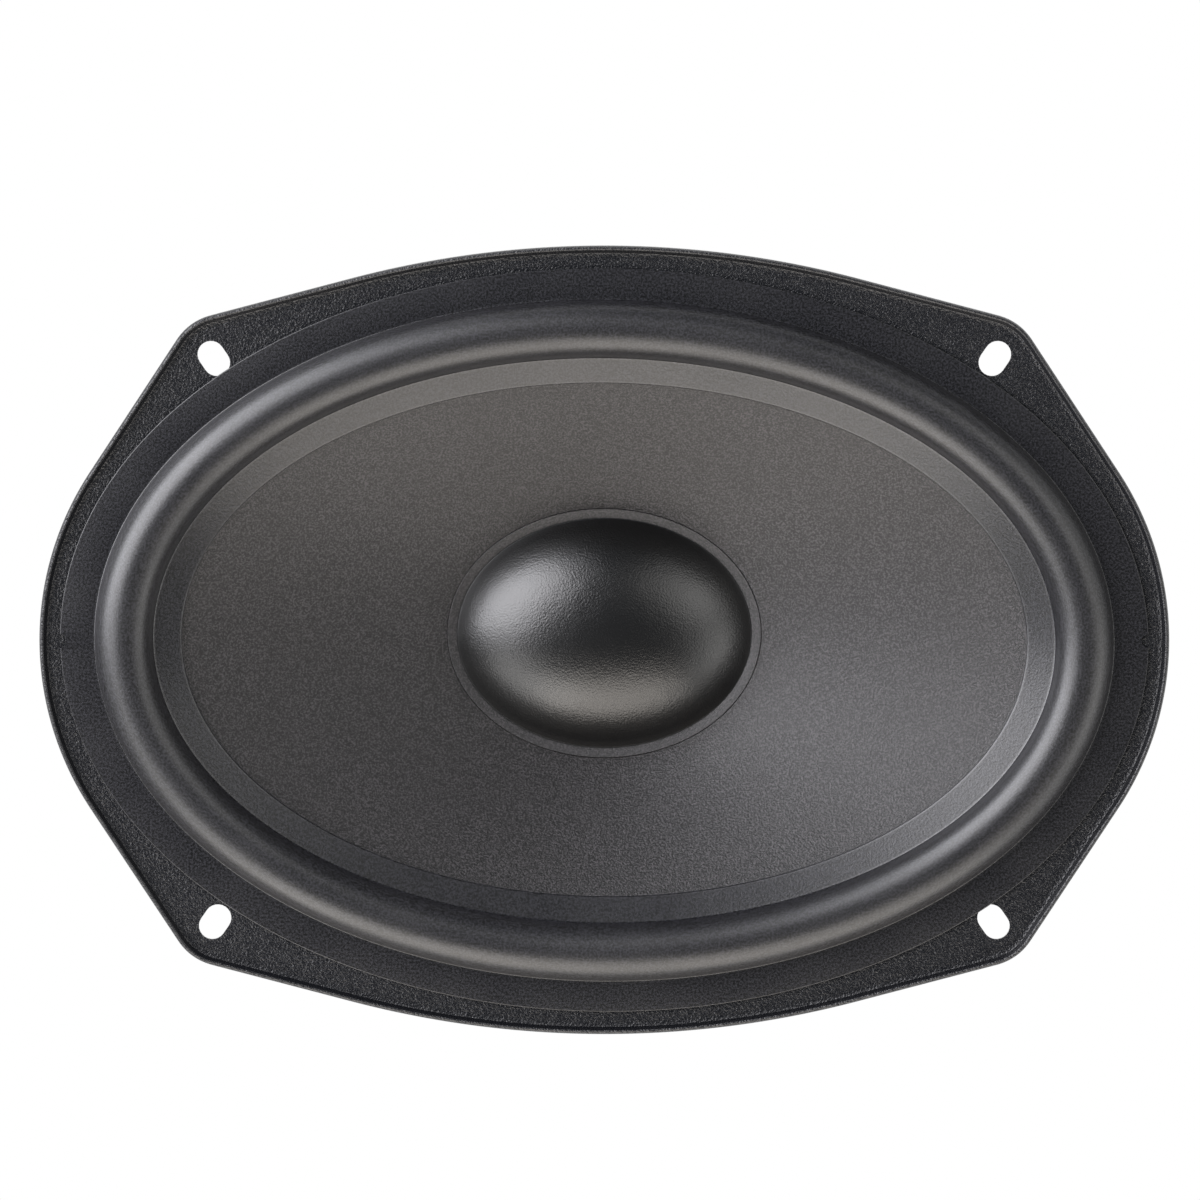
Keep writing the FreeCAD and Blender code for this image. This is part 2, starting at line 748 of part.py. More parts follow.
slots = new_sketch(flange, "XY_Plane", "ear_slots")
slot_radius = size("slot_width / 2")
for across, along in QUARTERS:
    middle = slot_centre()
    middle = Vector(middle.x * across, middle.y * along, 0)
    lean = math.atan2(along * math.sin(math.radians(size("slot_angle"))),
                      across * math.cos(math.radians(size("slot_angle"))))
    half_run = polar(lean, size("slot_inset") - slot_radius)
    side_step = polar(lean + math.pi / 2, slot_radius)
    for way in (1, -1):
        cap = Part.Circle(middle + half_run * way, UP, slot_radius)
        turn = lean if way == 1 else lean + math.pi
        slots.addGeometry(Part.ArcOfCircle(cap, turn - math.pi / 2, turn + math.pi / 2))
        slots.addGeometry(Part.LineSegment(middle - half_run + side_step * way,
                                           middle + half_run + side_step * way))
pierce = flange.newObject("PartDesign::Pocket", "slot_pierce")
pierce.Profile = slots
pierce.Type = "ThroughAll"
pierce.Midplane = True

# ------------------------------------------------------------------------- basket bowl
# Drawn skirt, slanted wall down to the spider's landing, and a round cup for the motor.
# Six windows are pierced straight down through the slanted wall and leave six arms.

bowl_outer = pressing("bowl_outer", [
    ("bowl_long + sheet", "bowl_short + sheet", "sheet"),
    ("bowl_long + sheet", "bowl_short + sheet", "0"),
    ("skirt_long + sheet", "skirt_short + sheet", "-skirt_depth - sheet"),
    ("landing_radius + sheet", "landing_radius + sheet", "-landing_depth - sheet"),
], False)
bowl_inner = pressing("bowl_inner", [
    ("bowl_long", "bowl_short", "lip_top + 1"),
    ("bowl_long", "bowl_short", "0"),
    ("skirt_long", "skirt_short", "-skirt_depth"),
    ("landing_radius", "landing_radius", "-landing_depth"),
], False)
cup_outer = cylinder("cup_outer", "cup_radius + sheet", "-basket_depth", "-landing_depth - sheet / 2")
cup_inner = cylinder("cup_inner", "cup_radius", "sheet - basket_depth", "sheet - landing_depth")
floor_bore = cylinder("floor_bore", "basket_bore", "-basket_depth - 1", "sheet - basket_depth + 1")


def meet_oval(direction, offset, long_half, short_half):
    """Where a line beside the centre line of an arm leaves an oval."""
    along = polar(direction, 1)
    beside = polar(direction + math.pi / 2, offset)
    square = (along.x / long_half) ** 2 + (along.y / short_half) ** 2
    linear = along.x * beside.x / long_half ** 2 + along.y * beside.y / short_half ** 2
    rest = (beside.x / long_half) ** 2 + (beside.y / short_half) ** 2 - 1
    reach = (math.sqrt(linear ** 2 - square * rest) - linear) / square
    return along * reach + beside


window_plan = doc.addObject("Sketcher::SketchObject", "window_plan")
arm = math.radians(size("arm_angle"))
arm_turns = [0, arm, math.pi - arm, math.pi, math.pi + arm, 2 * math.pi - arm, 2 * math.pi]
half_arm = size("arm_width / 2")
window_in = size("landing_radius + sheet + window_margin")
window_long = size("skirt_long - window_margin")
window_short = size("skirt_short - window_margin")
window_oval = Part.Ellipse(Vector(window_long, 0, 0), Vector(0, window_short, 0), Vector())
window_circle = Part.Circle(Vector(), UP, window_in)
for first, second in zip(arm_turns, arm_turns[1:]):
    inner_start = meet_oval(first, half_arm, window_in, window_in)
    inner_end = meet_oval(second, -half_arm, window_in, window_in)
    outer_start = meet_oval(first, half_arm, window_long, window_short)
    outer_end = meet_oval(second, -half_arm, window_long, window_short)
    turns = []
    for point, long_half, short_half in ((inner_start, window_in, window_in),
                                         (inner_end, window_in, window_in),
                                         (outer_start, window_long, window_short),
                                         (outer_end, window_long, window_short)):
        turns.append(math.atan2(point.y / short_half, point.x / long_half) % (2 * math.pi))
    window_plan.addGeometry(Part.ArcOfCircle(window_circle, turns[0], turns[1]))
    window_plan.addGeometry(Part.ArcOfEllipse(window_oval, turns[2], turns[3]))
    window_plan.addGeometry(Part.LineSegment(inner_start, outer_start))
    window_plan.addGeometry(Part.LineSegment(inner_end, outer_end))
punch = doc.addObject("Part::Extrusion", "window_punch")
punch.Base = window_plan
punch.Dir = -UP
punch.Solid = True
bind(punch, LengthFwd="landing_depth + sheet * 2")
doc.recompute()
rounded = doc.addObject("Part::Fillet", "window_rounding")
rounded.Base = punch
upright_edges = []
for number, edge in enumerate(punch.Shape.Edges, 1):
    ends = [vertex.Point for vertex in edge.Vertexes]
    if len(ends) == 2 and math.hypot(ends[0].x - ends[1].x, ends[0].y - ends[1].y) < 0.001:
        upright_edges.append((number, size("window_corner"), size("window_corner")))
rounded.Edges = upright_edges

# A lug left standing below the skirt on one long side carries the terminal board.
lug = box("lug", ("-lug_width / 2", "-lug_face", "-skirt_depth - lug_height"),
          ("lug_width / 2", "-skirt_short", "-skirt_depth - sheet / 2"))
rivet_levels = ["board_top - (board_height - board_rivet_pitch) / 2",
                "board_top - (board_height + board_rivet_pitch) / 2"]


def across_board(name, radius, inner, outer, level, x="0"):
    """Cylinder along Y between two distances from the centre, on the terminal side."""
    rod = solid("Cylinder", name, Radius=radius, Height="(%s) - (%s)" % (outer, inner),
                Placement__Base__x=x, Placement__Base__y="-(%s)" % inner,
                Placement__Base__z=level)
    rod.Placement.Rotation = FreeCAD.Rotation(Vector(1, 0, 0), 90)
    return rod


lug_holes = [across_board("lug_hole_%d" % number, "board_rivet + film", "skirt_short - 1",
                          "lug_face + 1", level) for number, level in enumerate(rivet_levels)]
basket_blank = fuse("basket_blank", [flange, bowl_outer, cup_outer, lug])
keep(cut("basket_pressing", basket_blank,
         [bowl_inner, cup_inner, floor_bore, rounded] + floor_holes + lug_holes), "basket")

# -------------------------------------------------------------------------- terminals
# Board riveted to the lug; each tab is riveted to the board and has a tail through it,
# where the braided lead from the cone ends.

tab_places = {"positive": ("-tab_spacing / 2", "tab_positive"),
              "negative": ("tab_spacing / 2", "tab_negative")}
tab_rivet_level = "tail_level - tab_rivet_head * 2"
board_blank = box("board_blank", ("-board_width / 2", "-board_face", "board_bottom"),
                  ("board_width / 2", "-lug_face", "board_top"))
board_holes = [across_board("board_hole_%d" % number, "board_rivet + film", "lug_face - 1",
                            "board_face + 1", level) for number, level in enumerate(rivet_levels)]
board_rivets = []
for number, level in enumerate(rivet_levels):
    board_rivets.append(fuse("board_rivet_%d" % number, [
        across_board("board_shank_%d" % number, "board_rivet", "skirt_short", "board_face", level),
        across_board("board_front_%d" % number, "board_rivet_head", "board_face",
                     "board_face + rivet_wall", level),
        across_board("board_back_%d" % number, "board_rivet_head", "skirt_short - rivet_wall",
                     "skirt_short", level)]))

tab_rivets = []
for pole_name, (place, width) in tab_places.items():
    half = "(%s) / 2" % width
    half_tail = "tail_width / 2"
    blade = box("blade_" + pole_name,
                ("%s - %s" % (place, half), "-board_face - tab_wall", "board_bottom - tab_reach"),
                ("%s + %s" % (place, half), "-board_face", "tail_level + tab_wall / 2"))
    tail = box("tail_" + pole_name,
               ("%s - %s" % (place, half_tail), "-board_face - tab_wall", "tail_level - tab_wall / 2"),
               ("%s + %s" % (place, half_tail), "-tail_end", "tail_level + tab_wall / 2"))
    holes = [
        across_board("tab_rivet_hole_" + pole_name, "tab_rivet + film", "board_face - 1",
                     "board_face + tab_wall + 1", tab_rivet_level, place),
        across_board("tab_latch_hole_" + pole_name, "tab_hole", "board_face - 1",
                     "board_face + tab_wall + 1", "board_bottom - tab_reach / 2", place)]
    keep(cut("terminal_" + pole_name + "_cut", fuse("terminal_blank_" + pole_name, [blade, tail]),
             holes), "terminal_" + pole_name)
    board_holes.append(across_board("board_tab_hole_" + pole_name, "tab_rivet + film",
                                    "lug_face - 1", "board_face + 1", tab_rivet_level, place))
    board_holes.append(box("tail_slot_" + pole_name,
                           ("%s - %s - film" % (place, half_tail), "-board_face - 1",
                            "tail_level - tab_wall / 2 - film"),
                           ("%s + %s + film" % (place, half_tail), "-lug_face + 1",
                            "tail_level + tab_wall / 2 + film")))
    tab_rivets.append(fuse("tab_rivet_" + pole_name, [
        across_board("tab_shank_" + pole_name, "tab_rivet", "lug_face", "board_face + tab_wall",
                     tab_rivet_level, place),
        across_board("tab_front_" + pole_name, "tab_rivet_head", "board_face + tab_wall",
                     "board_face + tab_wall + rivet_wall", tab_rivet_level, place),
        across_board("tab_back_" + pole_name, "tab_rivet_head", "lug_face - rivet_wall",
                     "lug_face", tab_rivet_level, place)]))
keep(cut("board_drilled", board_blank, board_holes), "terminal_board")
keep(group("board_rivet_pair", board_rivets), "board_rivets")
keep(group("tab_rivet_pair", tab_rivets), "terminal_rivets")

# ----------------------------------------------------------------------- tinsel leads
# Braided leads from the rear of the eyelets, over the spider and out to the tails.

for pole_name, side in SIDES.items():
    spot, normal = eyelet_seat(side)
    start = spot - normal * (size("cone_wall") / 2 + size("eyelet_lip + glue_gap + soft_gap"))
    goal = Vector(side * size("tab_spacing") / 2, -size("tail_end - glue_gap"), size("tail_level"))
    outward = Vector(side * size("lead_spread"), 0, 0)
    lead_route = [
        start,
        start - normal * size("lead_exit"),
        Vector(start.x, start.y - size("lead_reach"), goal.z - size("lead_hang")) + outward,
        Vector(goal.x, goal.y + size("lead_return"), goal.z - size("lead_rise")) - outward,
        Vector(goal.x, goal.y + size("lead_landing"), goal.z),
        goal,
    ]
    keep(bent_rod("lead_" + pole_name, lead_route, "lead_radius"), "tinsel_lead_" + pole_name)

# ------------------------------------------------------------------------ check, write
doc.recompute()
for thing in doc.Objects:
    assert not {"Invalid", "Error"} & set(thing.State), (thing.Name, thing.State)
os.makedirs("parts", exist_ok=True)
for part in parts:
    assert not part.Shape.isNull() and part.Shape.isValid(), part.Label
    assert part.Shape.Solids and part.Shape.Volume > 0, part.Label
for part in parts:
    part.Shape.exportStep("parts/%s.step" % part.Label)
    print("%-22s %3d solids %12.2f mm3" % (part.Label, len(part.Shape.Solids), part.Shape.Volume))
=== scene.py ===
"""Looks of the oval car woofer: every piece in metres, in the frame of its CAD model.

The file follows the speaker as it is put together: the studio first, then the basket,
the motor, the spider and voice coil, the cone, the dust cap, the surround, and last the
terminals with the leads that run to them.
"""
import math

import bmesh
import bpy
from mathutils import Matrix, Vector


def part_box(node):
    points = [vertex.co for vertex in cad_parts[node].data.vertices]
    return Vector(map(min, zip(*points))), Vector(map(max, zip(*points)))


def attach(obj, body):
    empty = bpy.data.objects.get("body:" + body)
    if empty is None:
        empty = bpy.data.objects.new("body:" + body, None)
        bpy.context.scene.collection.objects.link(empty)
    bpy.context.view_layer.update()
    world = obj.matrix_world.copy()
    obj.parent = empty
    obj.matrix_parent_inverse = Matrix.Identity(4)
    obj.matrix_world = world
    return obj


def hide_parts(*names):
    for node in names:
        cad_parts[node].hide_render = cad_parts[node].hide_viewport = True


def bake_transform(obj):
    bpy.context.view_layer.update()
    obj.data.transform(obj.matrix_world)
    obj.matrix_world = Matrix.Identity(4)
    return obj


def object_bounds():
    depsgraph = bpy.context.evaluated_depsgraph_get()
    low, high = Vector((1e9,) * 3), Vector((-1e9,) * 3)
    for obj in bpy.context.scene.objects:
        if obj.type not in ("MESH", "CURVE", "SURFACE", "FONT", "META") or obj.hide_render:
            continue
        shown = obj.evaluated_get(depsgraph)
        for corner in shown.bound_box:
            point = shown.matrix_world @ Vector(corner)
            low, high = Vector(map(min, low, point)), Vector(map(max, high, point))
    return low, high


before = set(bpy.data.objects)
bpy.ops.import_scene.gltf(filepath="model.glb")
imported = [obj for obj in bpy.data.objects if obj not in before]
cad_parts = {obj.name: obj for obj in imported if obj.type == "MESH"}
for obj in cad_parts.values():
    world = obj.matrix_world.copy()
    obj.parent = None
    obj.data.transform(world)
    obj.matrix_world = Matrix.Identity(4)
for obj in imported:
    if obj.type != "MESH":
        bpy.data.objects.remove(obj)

cad_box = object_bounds()
MM = 0.001
ROUND = 2 * math.pi

# ----------------------------------------------------------------------------- studio
# A long lens looks down at the speaker's face, tipped slightly towards its top edge.
# Soft boxes stand low round a white table, most at the left, and the lens is in the dark.

VIEW_DISTANCE = 2.4
VIEW_TILT = math.radians(4)
VIEW_WIDTH = 251.7 * MM
AIM = Vector((-0.91, 8.55, 1)) * MM
LAMP_DISTANCE = 1.3
# Degrees round the speaker, degrees above the table, width, height, colour and power.
SOFT_BOXES = {
    "box_left_low": (150, 14, 1.6, 0.6, "#f8f9ff", 12.5),
    "box_left": (150, 31, 1.7, 1.1, "#fcfbff", 20),
    "box_left_high": (148, 45, 1.0, 0.75, "#fcfbff", 6.5),
    "box_corner": (225, 30, 1.0, 0.9, "#fffdfb", 6),
    "box_bottom_low": (267, 14, 2.0, 0.6, "#fff8f0", 11),
    "box_bottom": (274, 40, 1.3, 0.7, "#fff8f0", 7.5),
    "box_right": (5, 27, 1.6, 1.0, "#fffdfa", 4.5),
    "box_right_low": (330, 17, 1.4, 0.7, "#fffdfa", 4),
    "box_right_high": (38, 42, 0.9, 0.7, "#fffdfa", 2),
}
TABLE_REACH = 6.0


def stand(name, data):
    """Object that shows some data, linked into the scene."""
    made = bpy.data.objects.new(name, data)
    bpy.context.collection.objects.link(made)
    return made


def linear(code):
    """Linear colour, with alpha 1, of an sRGB hex code."""
    parts = [int(code[place:place + 2], 16) / 255 for place in (1, 3, 5)]
    return [part / 12.92 if part <= 0.04045 else ((part + 0.055) / 1.055) ** 2.4
            for part in parts] + [1.0]


def polar(turn, reach):
    """Point of the XY plane at a turn and a reach."""
    return Vector((reach * math.cos(turn), reach * math.sin(turn), 0))


camera = stand("camera", bpy.data.cameras.new("camera"))
camera.data.lens = camera.data.sensor_width * VIEW_DISTANCE / VIEW_WIDTH
camera.data.clip_start = 0.1
camera.data.clip_end = 50
camera.location = AIM + Vector((0, math.sin(VIEW_TILT), math.cos(VIEW_TILT))) * VIEW_DISTANCE
camera.rotation_euler = (-VIEW_TILT, 0, 0)
bpy.context.scene.camera = camera
bpy.context.scene.view_settings.view_transform = "Standard"

for name, (turn, rise, width, height, colour, power) in SOFT_BOXES.items():
    lamp = bpy.data.lights.new(name, "AREA")
    lamp.shape = "RECTANGLE"
    lamp.size = width
    lamp.size_y = height
    lamp.color = linear(colour)[:3]
    lamp.energy = power
    rise = math.radians(rise)
    outward = polar(math.radians(turn), math.cos(rise)) + Vector((0, 0, math.sin(rise)))
    soft_box = stand(name, lamp)
    soft_box.location = outward * LAMP_DISTANCE
    soft_box.rotation_mode = "QUATERNION"
    soft_box.rotation_quaternion = outward.to_track_quat("Z", "Y")

world = bpy.data.worlds.new("studio")
world.use_nodes = True
world.node_tree.nodes["Background"].inputs["Color"].default_value = linear("#dfe6f2")
world.node_tree.nodes["Background"].inputs["Strength"].default_value = 0.11
bpy.context.scene.world = world


def add(tree, kind, sockets=None, **settings):
    """Adds a node; sockets gives its inputs, by name or number, a value or another node."""
    made = tree.nodes.new(kind)
    for name, value in settings.items():
        setattr(made, name, value)
    for key, value in (sockets or {}).items():
        if isinstance(value, bpy.types.Node):
            value = value.outputs[0]
        if isinstance(value, bpy.types.NodeSocket):
            tree.links.new(value, made.inputs[key])
        else:
            made.inputs[key].default_value = value
    return made


def maths(tree, operation, *values):
    """Math node on one to three values."""
    return add(tree, "ShaderNodeMath", dict(enumerate(values)), operation=operation)


def new_finish(name, colour, roughness, **sockets):
    """Material with the shader's plain sockets set; returns it, its tree and its places."""
    finish = bpy.data.materials.new(name)
    finish.use_nodes = True
    shader = finish.node_tree.nodes["Principled BSDF"]
    shader.inputs["Base Color"].default_value = linear(colour)
    shader.inputs["Roughness"].default_value = roughness
    for socket, value in sockets.items():
        shader.inputs[socket.replace("_", " ")].default_value = value
    place = add(finish.node_tree, "ShaderNodeTexCoord").outputs["Object"]
    return finish, finish.node_tree, place


# White laminate table: it shows white to the lens and in reflections, and still takes
# part of the speaker's soft shadow. Its underside is clear, for a look from below.
table_mesh = bpy.data.meshes.new("table")
table_mesh.from_pydata([(x * TABLE_REACH, y * TABLE_REACH, cad_box[0].z)
                        for x, y in ((-1, -1), (1, -1), (1, 1), (-1, 1))], [], [(0, 1, 2, 3)])
table = stand("table", table_mesh)
laminate, tree, _ = new_finish("white_laminate", "#f4f4f4", 0.7)
ray = add(tree, "ShaderNodeLightPath").outputs
glossy_or_clear = maths(tree, "MAXIMUM", ray["Is Glossy Ray"], ray["Is Transmission Ray"])
seen = maths(tree, "MAXIMUM", ray["Is Camera Ray"], glossy_or_clear)
white = add(tree, "ShaderNodeEmission", {"Color": linear("#ffffff"), "Strength": 1.0})
mixed = add(tree, "ShaderNodeMixShader", {0: seen, 1: tree.nodes["Principled BSDF"], 2: white})
back = add(tree, "ShaderNodeNewGeometry").outputs["Backfacing"]
clear = add(tree, "ShaderNodeBsdfTransparent")
one_sided = add(tree, "ShaderNodeMixShader", {0: back, 1: mixed, 2: clear})
tree.links.new(one_sided.outputs[0], tree.nodes["Material Output"].inputs["Surface"])
table.data.materials.append(laminate)

# ----------------------------------------------------------------------------- basket
# Deep-drawn sheet steel: an oval flange with four slotted ears and a rolled rim, a bowl
# with six pierced windows and beaded arms, and a round cup that the motor is riveted to.

SHEET = 1.0 * MM
flange_low, flange_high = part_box("basket")
END_RADIUS = 64.2 * MM
SIDE_RADIUS = 208.3 * MM
EAR_RADIUS = 12 * MM
EAR_CORNER = Vector((87.0, 67.1, 0)) * MM
SLOT_PLACE = Vector((81.8, 59.25, 0)) * MM
SLOT_LEAN = math.radians(55.5)
SLOT_LENGTH = 7.75 * MM
SLOT_WIDTH = 5.65 * MM
# Section of the rolled rim, in mm inward of the edge and above the flange's rear face.
RIM = [(0.0, 0.0), (0.0, 1.6), (0.08, 2.15), (0.3, 2.5), (0.6, 2.6), (0.88, 2.48), (1.1, 2.1),
       (1.28, 1.55), (1.5, 1.16), (1.9, 1.02), (2.6, 1.0)]
AXIS = Vector((0, 0, 0))
BOWL_MOUTH = Vector((105.2, 70.5, 0)) * MM
MOUTH_MARGIN = 3 * MM
SKIRT_FOOT = Vector((101.2, 66.5, -12)) * MM
SPIDER_DIP = 1.6 * MM
LANDING_RADIUS = 49.5 * MM
LANDING_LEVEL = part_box("spider")[0].z + SPIDER_DIP
CUP_RADIUS = 43 * MM
FLOOR_BORE = 21 * MM
FLOOR_LEVEL = flange_low.z
DRAW_BEND = 2.2 * MM
ARM_TURNS = [math.radians(turn) for turn in (0, 55, 125, 180, 235, 305)]
ARM_HALF_WIDTH = 6 * MM
WINDOW_INNER = 53.5 * MM
WINDOW_OUTER = Vector((98.2, 63.5, 0)) * MM
WINDOW_CORNER = 4 * MM
WINDOW_LOW = LANDING_LEVEL - 4 * MM
WINDOW_HIGH = SKIRT_FOOT.z + 10 * MM
BEAD_HALF_WIDTH = 3.4 * MM
BEAD_FLANK = 1.6 * MM
BEAD_HEIGHT = 1.1 * MM
BEAD_START = 1.5 * MM
BEAD_STOP = 2 * MM
BEAD_RUNOUT = 5 * MM
LUG_HALF_WIDTH = 6 * MM
LUG_HEIGHT = 19 * MM
BASKET_SPOKES = 720


def circle(radius, count):
    """Points round the axis at even turns."""
    return [polar(ROUND * number / count, radius) for number in range(count)]


def smooth(value):
    """Eased step from 0 to 1."""
    value = min(max(value, 0), 1)
    return value * value * (3 - 2 * value)


def station(plan, out, level):
    """Half length and half width of an oval, moved outward, with its level."""
    return Vector((plan[0] + out, plan[1] + out, level))


def bent_step(corners, bend, steps=4):
    """Stations along straight runs whose corners are rounded by a bend."""
    stations = [corners[0]]
    for before, corner, after in zip(corners, corners[1:], corners[2:]):
        inward = (before - corner).normalized()
        outward = (after - corner).normalized()
        turn = math.pi - inward.angle(outward)
        room = min((before - corner).length, (after - corner).length) / 2.1
        trim = min(bend * math.tan(turn / 2), room)
        for step in range(steps + 1):
            share = step / steps
            first = corner + inward * trim * (1 - share)
            second = corner + outward * trim * share
            stations.append(first * (1 - share) + second * share)
    return stations + [corners[-1]]


def oval_reach(long_half, short_half, turn):
    """Reach of an oval at a polar turn."""
    return 1 / math.hypot(math.cos(turn) / long_half, math.sin(turn) / short_half)


def flange_outline(count, arc_steps=60):
    """(point, outward normal) round the flange at even polar turns from +X."""
    end_centre = Vector((flange_high.x - END_RADIUS, 0, 0))
    side_centre = Vector((0, flange_high.y - SIDE_RADIUS, 0))
    to_end = EAR_CORNER - end_centre
    to_side = EAR_CORNER - side_centre
    end_turn = math.atan2(to_end.y, to_end.x) - math.acos(END_RADIUS / to_end.length)
    side_turn = math.atan2(to_side.y, to_side.x) + math.acos(SIDE_RADIUS / to_side.length)
    across, along = polar(end_turn, 1), polar(side_turn, 1)
    ear_centre = EAR_CORNER - (across + along) * (EAR_RADIUS / (1 + across.dot(along)))
    quarter = []
    for centre, radius, start, stop in ((end_centre, END_RADIUS, 0, end_turn),
                                        (ear_centre, EAR_RADIUS, end_turn, side_turn),
                                        (side_centre, SIDE_RADIUS, side_turn, math.pi / 2)):
        for step in range(arc_steps + 1):
            way = start + (stop - start) * step / arc_steps
            quarter.append((centre + polar(way, radius), polar(way, 1)))
    outline = []
    for number in range(count):
        turn = ROUND * number / count
        mirror = Vector((1 if math.cos(turn) >= 0 else -1, 1 if math.sin(turn) >= 0 else -1, 1))
        ray = Vector((abs(math.cos(turn)), abs(math.sin(turn)), 0))
        for (here, facing), (there, next_facing) in zip(quarter, quarter[1:]):
            low, high = here.cross(ray).z, there.cross(ray).z
            if low >= 0 >= high and low > high:
                share = low / (low - high)
                point = here.lerp(there, share) * mirror
                normal = facing.lerp(next_facing, share).normalized() * mirror
                break
        outline.append((point, normal))
    return outline


def arm_bead(place):
    """Depth of the stiffening bead pressed along the middle of each arm."""
    turn = math.atan2(place.y, place.x)
    reach = math.hypot(place.x, place.y)
    start = smooth((reach - LANDING_RADIUS - BEAD_START) / BEAD_RUNOUT)
    end = smooth((oval_reach(*SKIRT_FOOT.xy, turn) - BEAD_STOP - reach) / BEAD_RUNOUT)
    depth = 0
    for arm in ARM_TURNS:
        along = polar(arm, 1)
        if place.dot(along) > 0:
            beside = abs(place.cross(along).z)
            depth = max(depth, smooth((BEAD_HALF_WIDTH - beside) / BEAD_FLANK))
    return depth * start * end * BEAD_HEIGHT


def shell(name, rings, closed=True):
    """Mesh of quads through rings of corners. Closed, the last ring meets the first."""
    form = bmesh.new()
    rows = [[form.verts.new(corner) for corner in ring] for ring in rings]
    pairs = list(zip(rows, rows[1:]))
    if closed:
        pairs.append((rows[-1], rows[0]))
    else:
        form.faces.new(rows[0])
        form.faces.new(rows[-1])
    for lower, upper in pairs:
        for number in range(len(lower)):
            form.faces.new((lower[number - 1], lower[number], upper[number], upper[number - 1]))
    bmesh.ops.recalc_face_normals(form, faces=form.faces)
    mesh = bpy.data.meshes.new(name)
    form.to_mesh(mesh)
    form.free()
    return stand(name, mesh)


def shade(piece, crease=32):
    """Smooth shading that keeps edges sharper than the crease angle, in degrees."""
    piece.data.shade_smooth()
    piece.data.set_sharp_from_angle(angle=math.radians(crease))
    return piece


def shown_mesh(piece):
    """Mesh of what an object shows, with its modifiers."""
    graph = bpy.context.evaluated_depsgraph_get()
    return bpy.data.meshes.new_from_object(piece.evaluated_get(graph))


def made_plain(piece):
    """Takes a piece's modifiers into its mesh."""
    mesh = shown_mesh(piece)
    piece.modifiers.clear()
    piece.data = mesh
    mesh.name = piece.name
    return piece


def combined(piece, tools, operation):
    """Cuts tools out of a piece, or fuses them to it, and removes them."""
    for tool in tools:
        change = piece.modifiers.new("change", "BOOLEAN")
        change.object = tool
        change.operation = operation
        change.solver = "EXACT"
    made_plain(piece)
    for tool in tools:
        bpy.data.objects.remove(tool)
    return piece


def prism(name, outline, low, high):
    """Upright prism over a plan outline."""
    return shell(name, [[Vector((*corner[:2], level)) for corner in outline]
                        for level in (low, high)], closed=False)


def rectangle(low_x, low_y, high_x, high_y):
    """Plan of a rectangle."""
    return [(low_x, low_y), (high_x, low_y), (high_x, high_y), (low_x, high_y)]


def slot_outline(middle, lean, steps=12):
    """Plan of a slot with round ends."""
    outline = []
    for half in (0, math.pi):
        centre = middle + polar(lean + half, (SLOT_LENGTH - SLOT_WIDTH) / 2)
        for step in range(steps + 1):
            way = lean + half - math.pi / 2 + math.pi * step / steps
            outline.append(centre + polar(way, SLOT_WIDTH / 2))
    return outline


def window_outline(first, second, steps=28, corner_steps=8):
    """Plan of the window between two arms, with rounded corners."""
    inset = WINDOW_CORNER
    beside = ARM_HALF_WIDTH + inset

    def on_oval(long_half, short_half, arm, offset):
        low, high = 0, 0.3
        while high - low > 1e-7:
            middle = (low + high) / 2
            place = polar(arm, middle) + polar(arm + math.pi / 2, offset)
            inside = (place.x / long_half) ** 2 + (place.y / short_half) ** 2 < 1
            low, high = (middle, high) if inside else (low, middle)
        place = polar(arm, low) + polar(arm + math.pi / 2, offset)
        return math.atan2(place.y / short_half, place.x / long_half) % ROUND

    def side(long_half, short_half, start, stop, outward):
        points = []
        for step in range(steps + 1):
            way = start + (stop - start) * step / steps
            place = Vector((long_half * math.cos(way), short_half * math.sin(way), 0))
            normal = Vector((math.cos(way) / long_half, math.sin(way) / short_half, 0))
            points.append((place, normal.normalized() * outward))
        return points

    def end_turns(oval_halves):
        turns = [on_oval(*oval_halves, first, beside), on_oval(*oval_halves, second, -beside)]
        return turns[0], turns[1] + (ROUND if turns[1] < turns[0] else 0)

    outer = (WINDOW_OUTER.x - inset, WINDOW_OUTER.y - inset)
    inner = (WINDOW_INNER + inset, WINDOW_INNER + inset)
    at_second, at_first = polar(second + math.pi / 2, 1), polar(first - math.pi / 2, 1)
    spine = side(*outer, *end_turns(outer), 1)
    spine += [(spine[-1][0], at_second)]
    back = side(*inner, *reversed(end_turns(inner)), -1)
    spine += [(back[0][0], at_second)] + back + [(back[-1][0], at_first), (spine[0][0], at_first)]
    outline = []
    for (place, normal), (next_place, next_normal) in zip(spine, spine[1:] + spine[:1]):
        outline.append(place + normal * inset)
        if (place - next_place).length < 1e-6 and normal.angle(next_normal) > 0.1:
            sweep = math.atan2(normal.cross(next_normal).z, normal.dot(next_normal))
            way = math.atan2(normal.y, normal.x)
            for step in range(1, corner_steps):
                outline.append(place + polar(way + sweep * step / corner_steps, inset))
    return outline


outline = flange_outline(BASKET_SPOKES)
spoke_turns = [math.atan2(point.y, point.x) for point, _ in outline]
rings = [[point - normal * inset * MM + Vector((0, 0, level * MM)) for point, normal in outline]
         for inset, level in RIM]


def bowl_ring(long_half, short_half, level):
    """Ring of the bowl at even polar turns, pressed out where an arm's bead runs."""
    ring = []
    for turn in spoke_turns:
        place = polar(turn, oval_reach(long_half, short_half, turn))
        ring.append(place + Vector((0, 0, level - arm_bead(place))))
    return ring


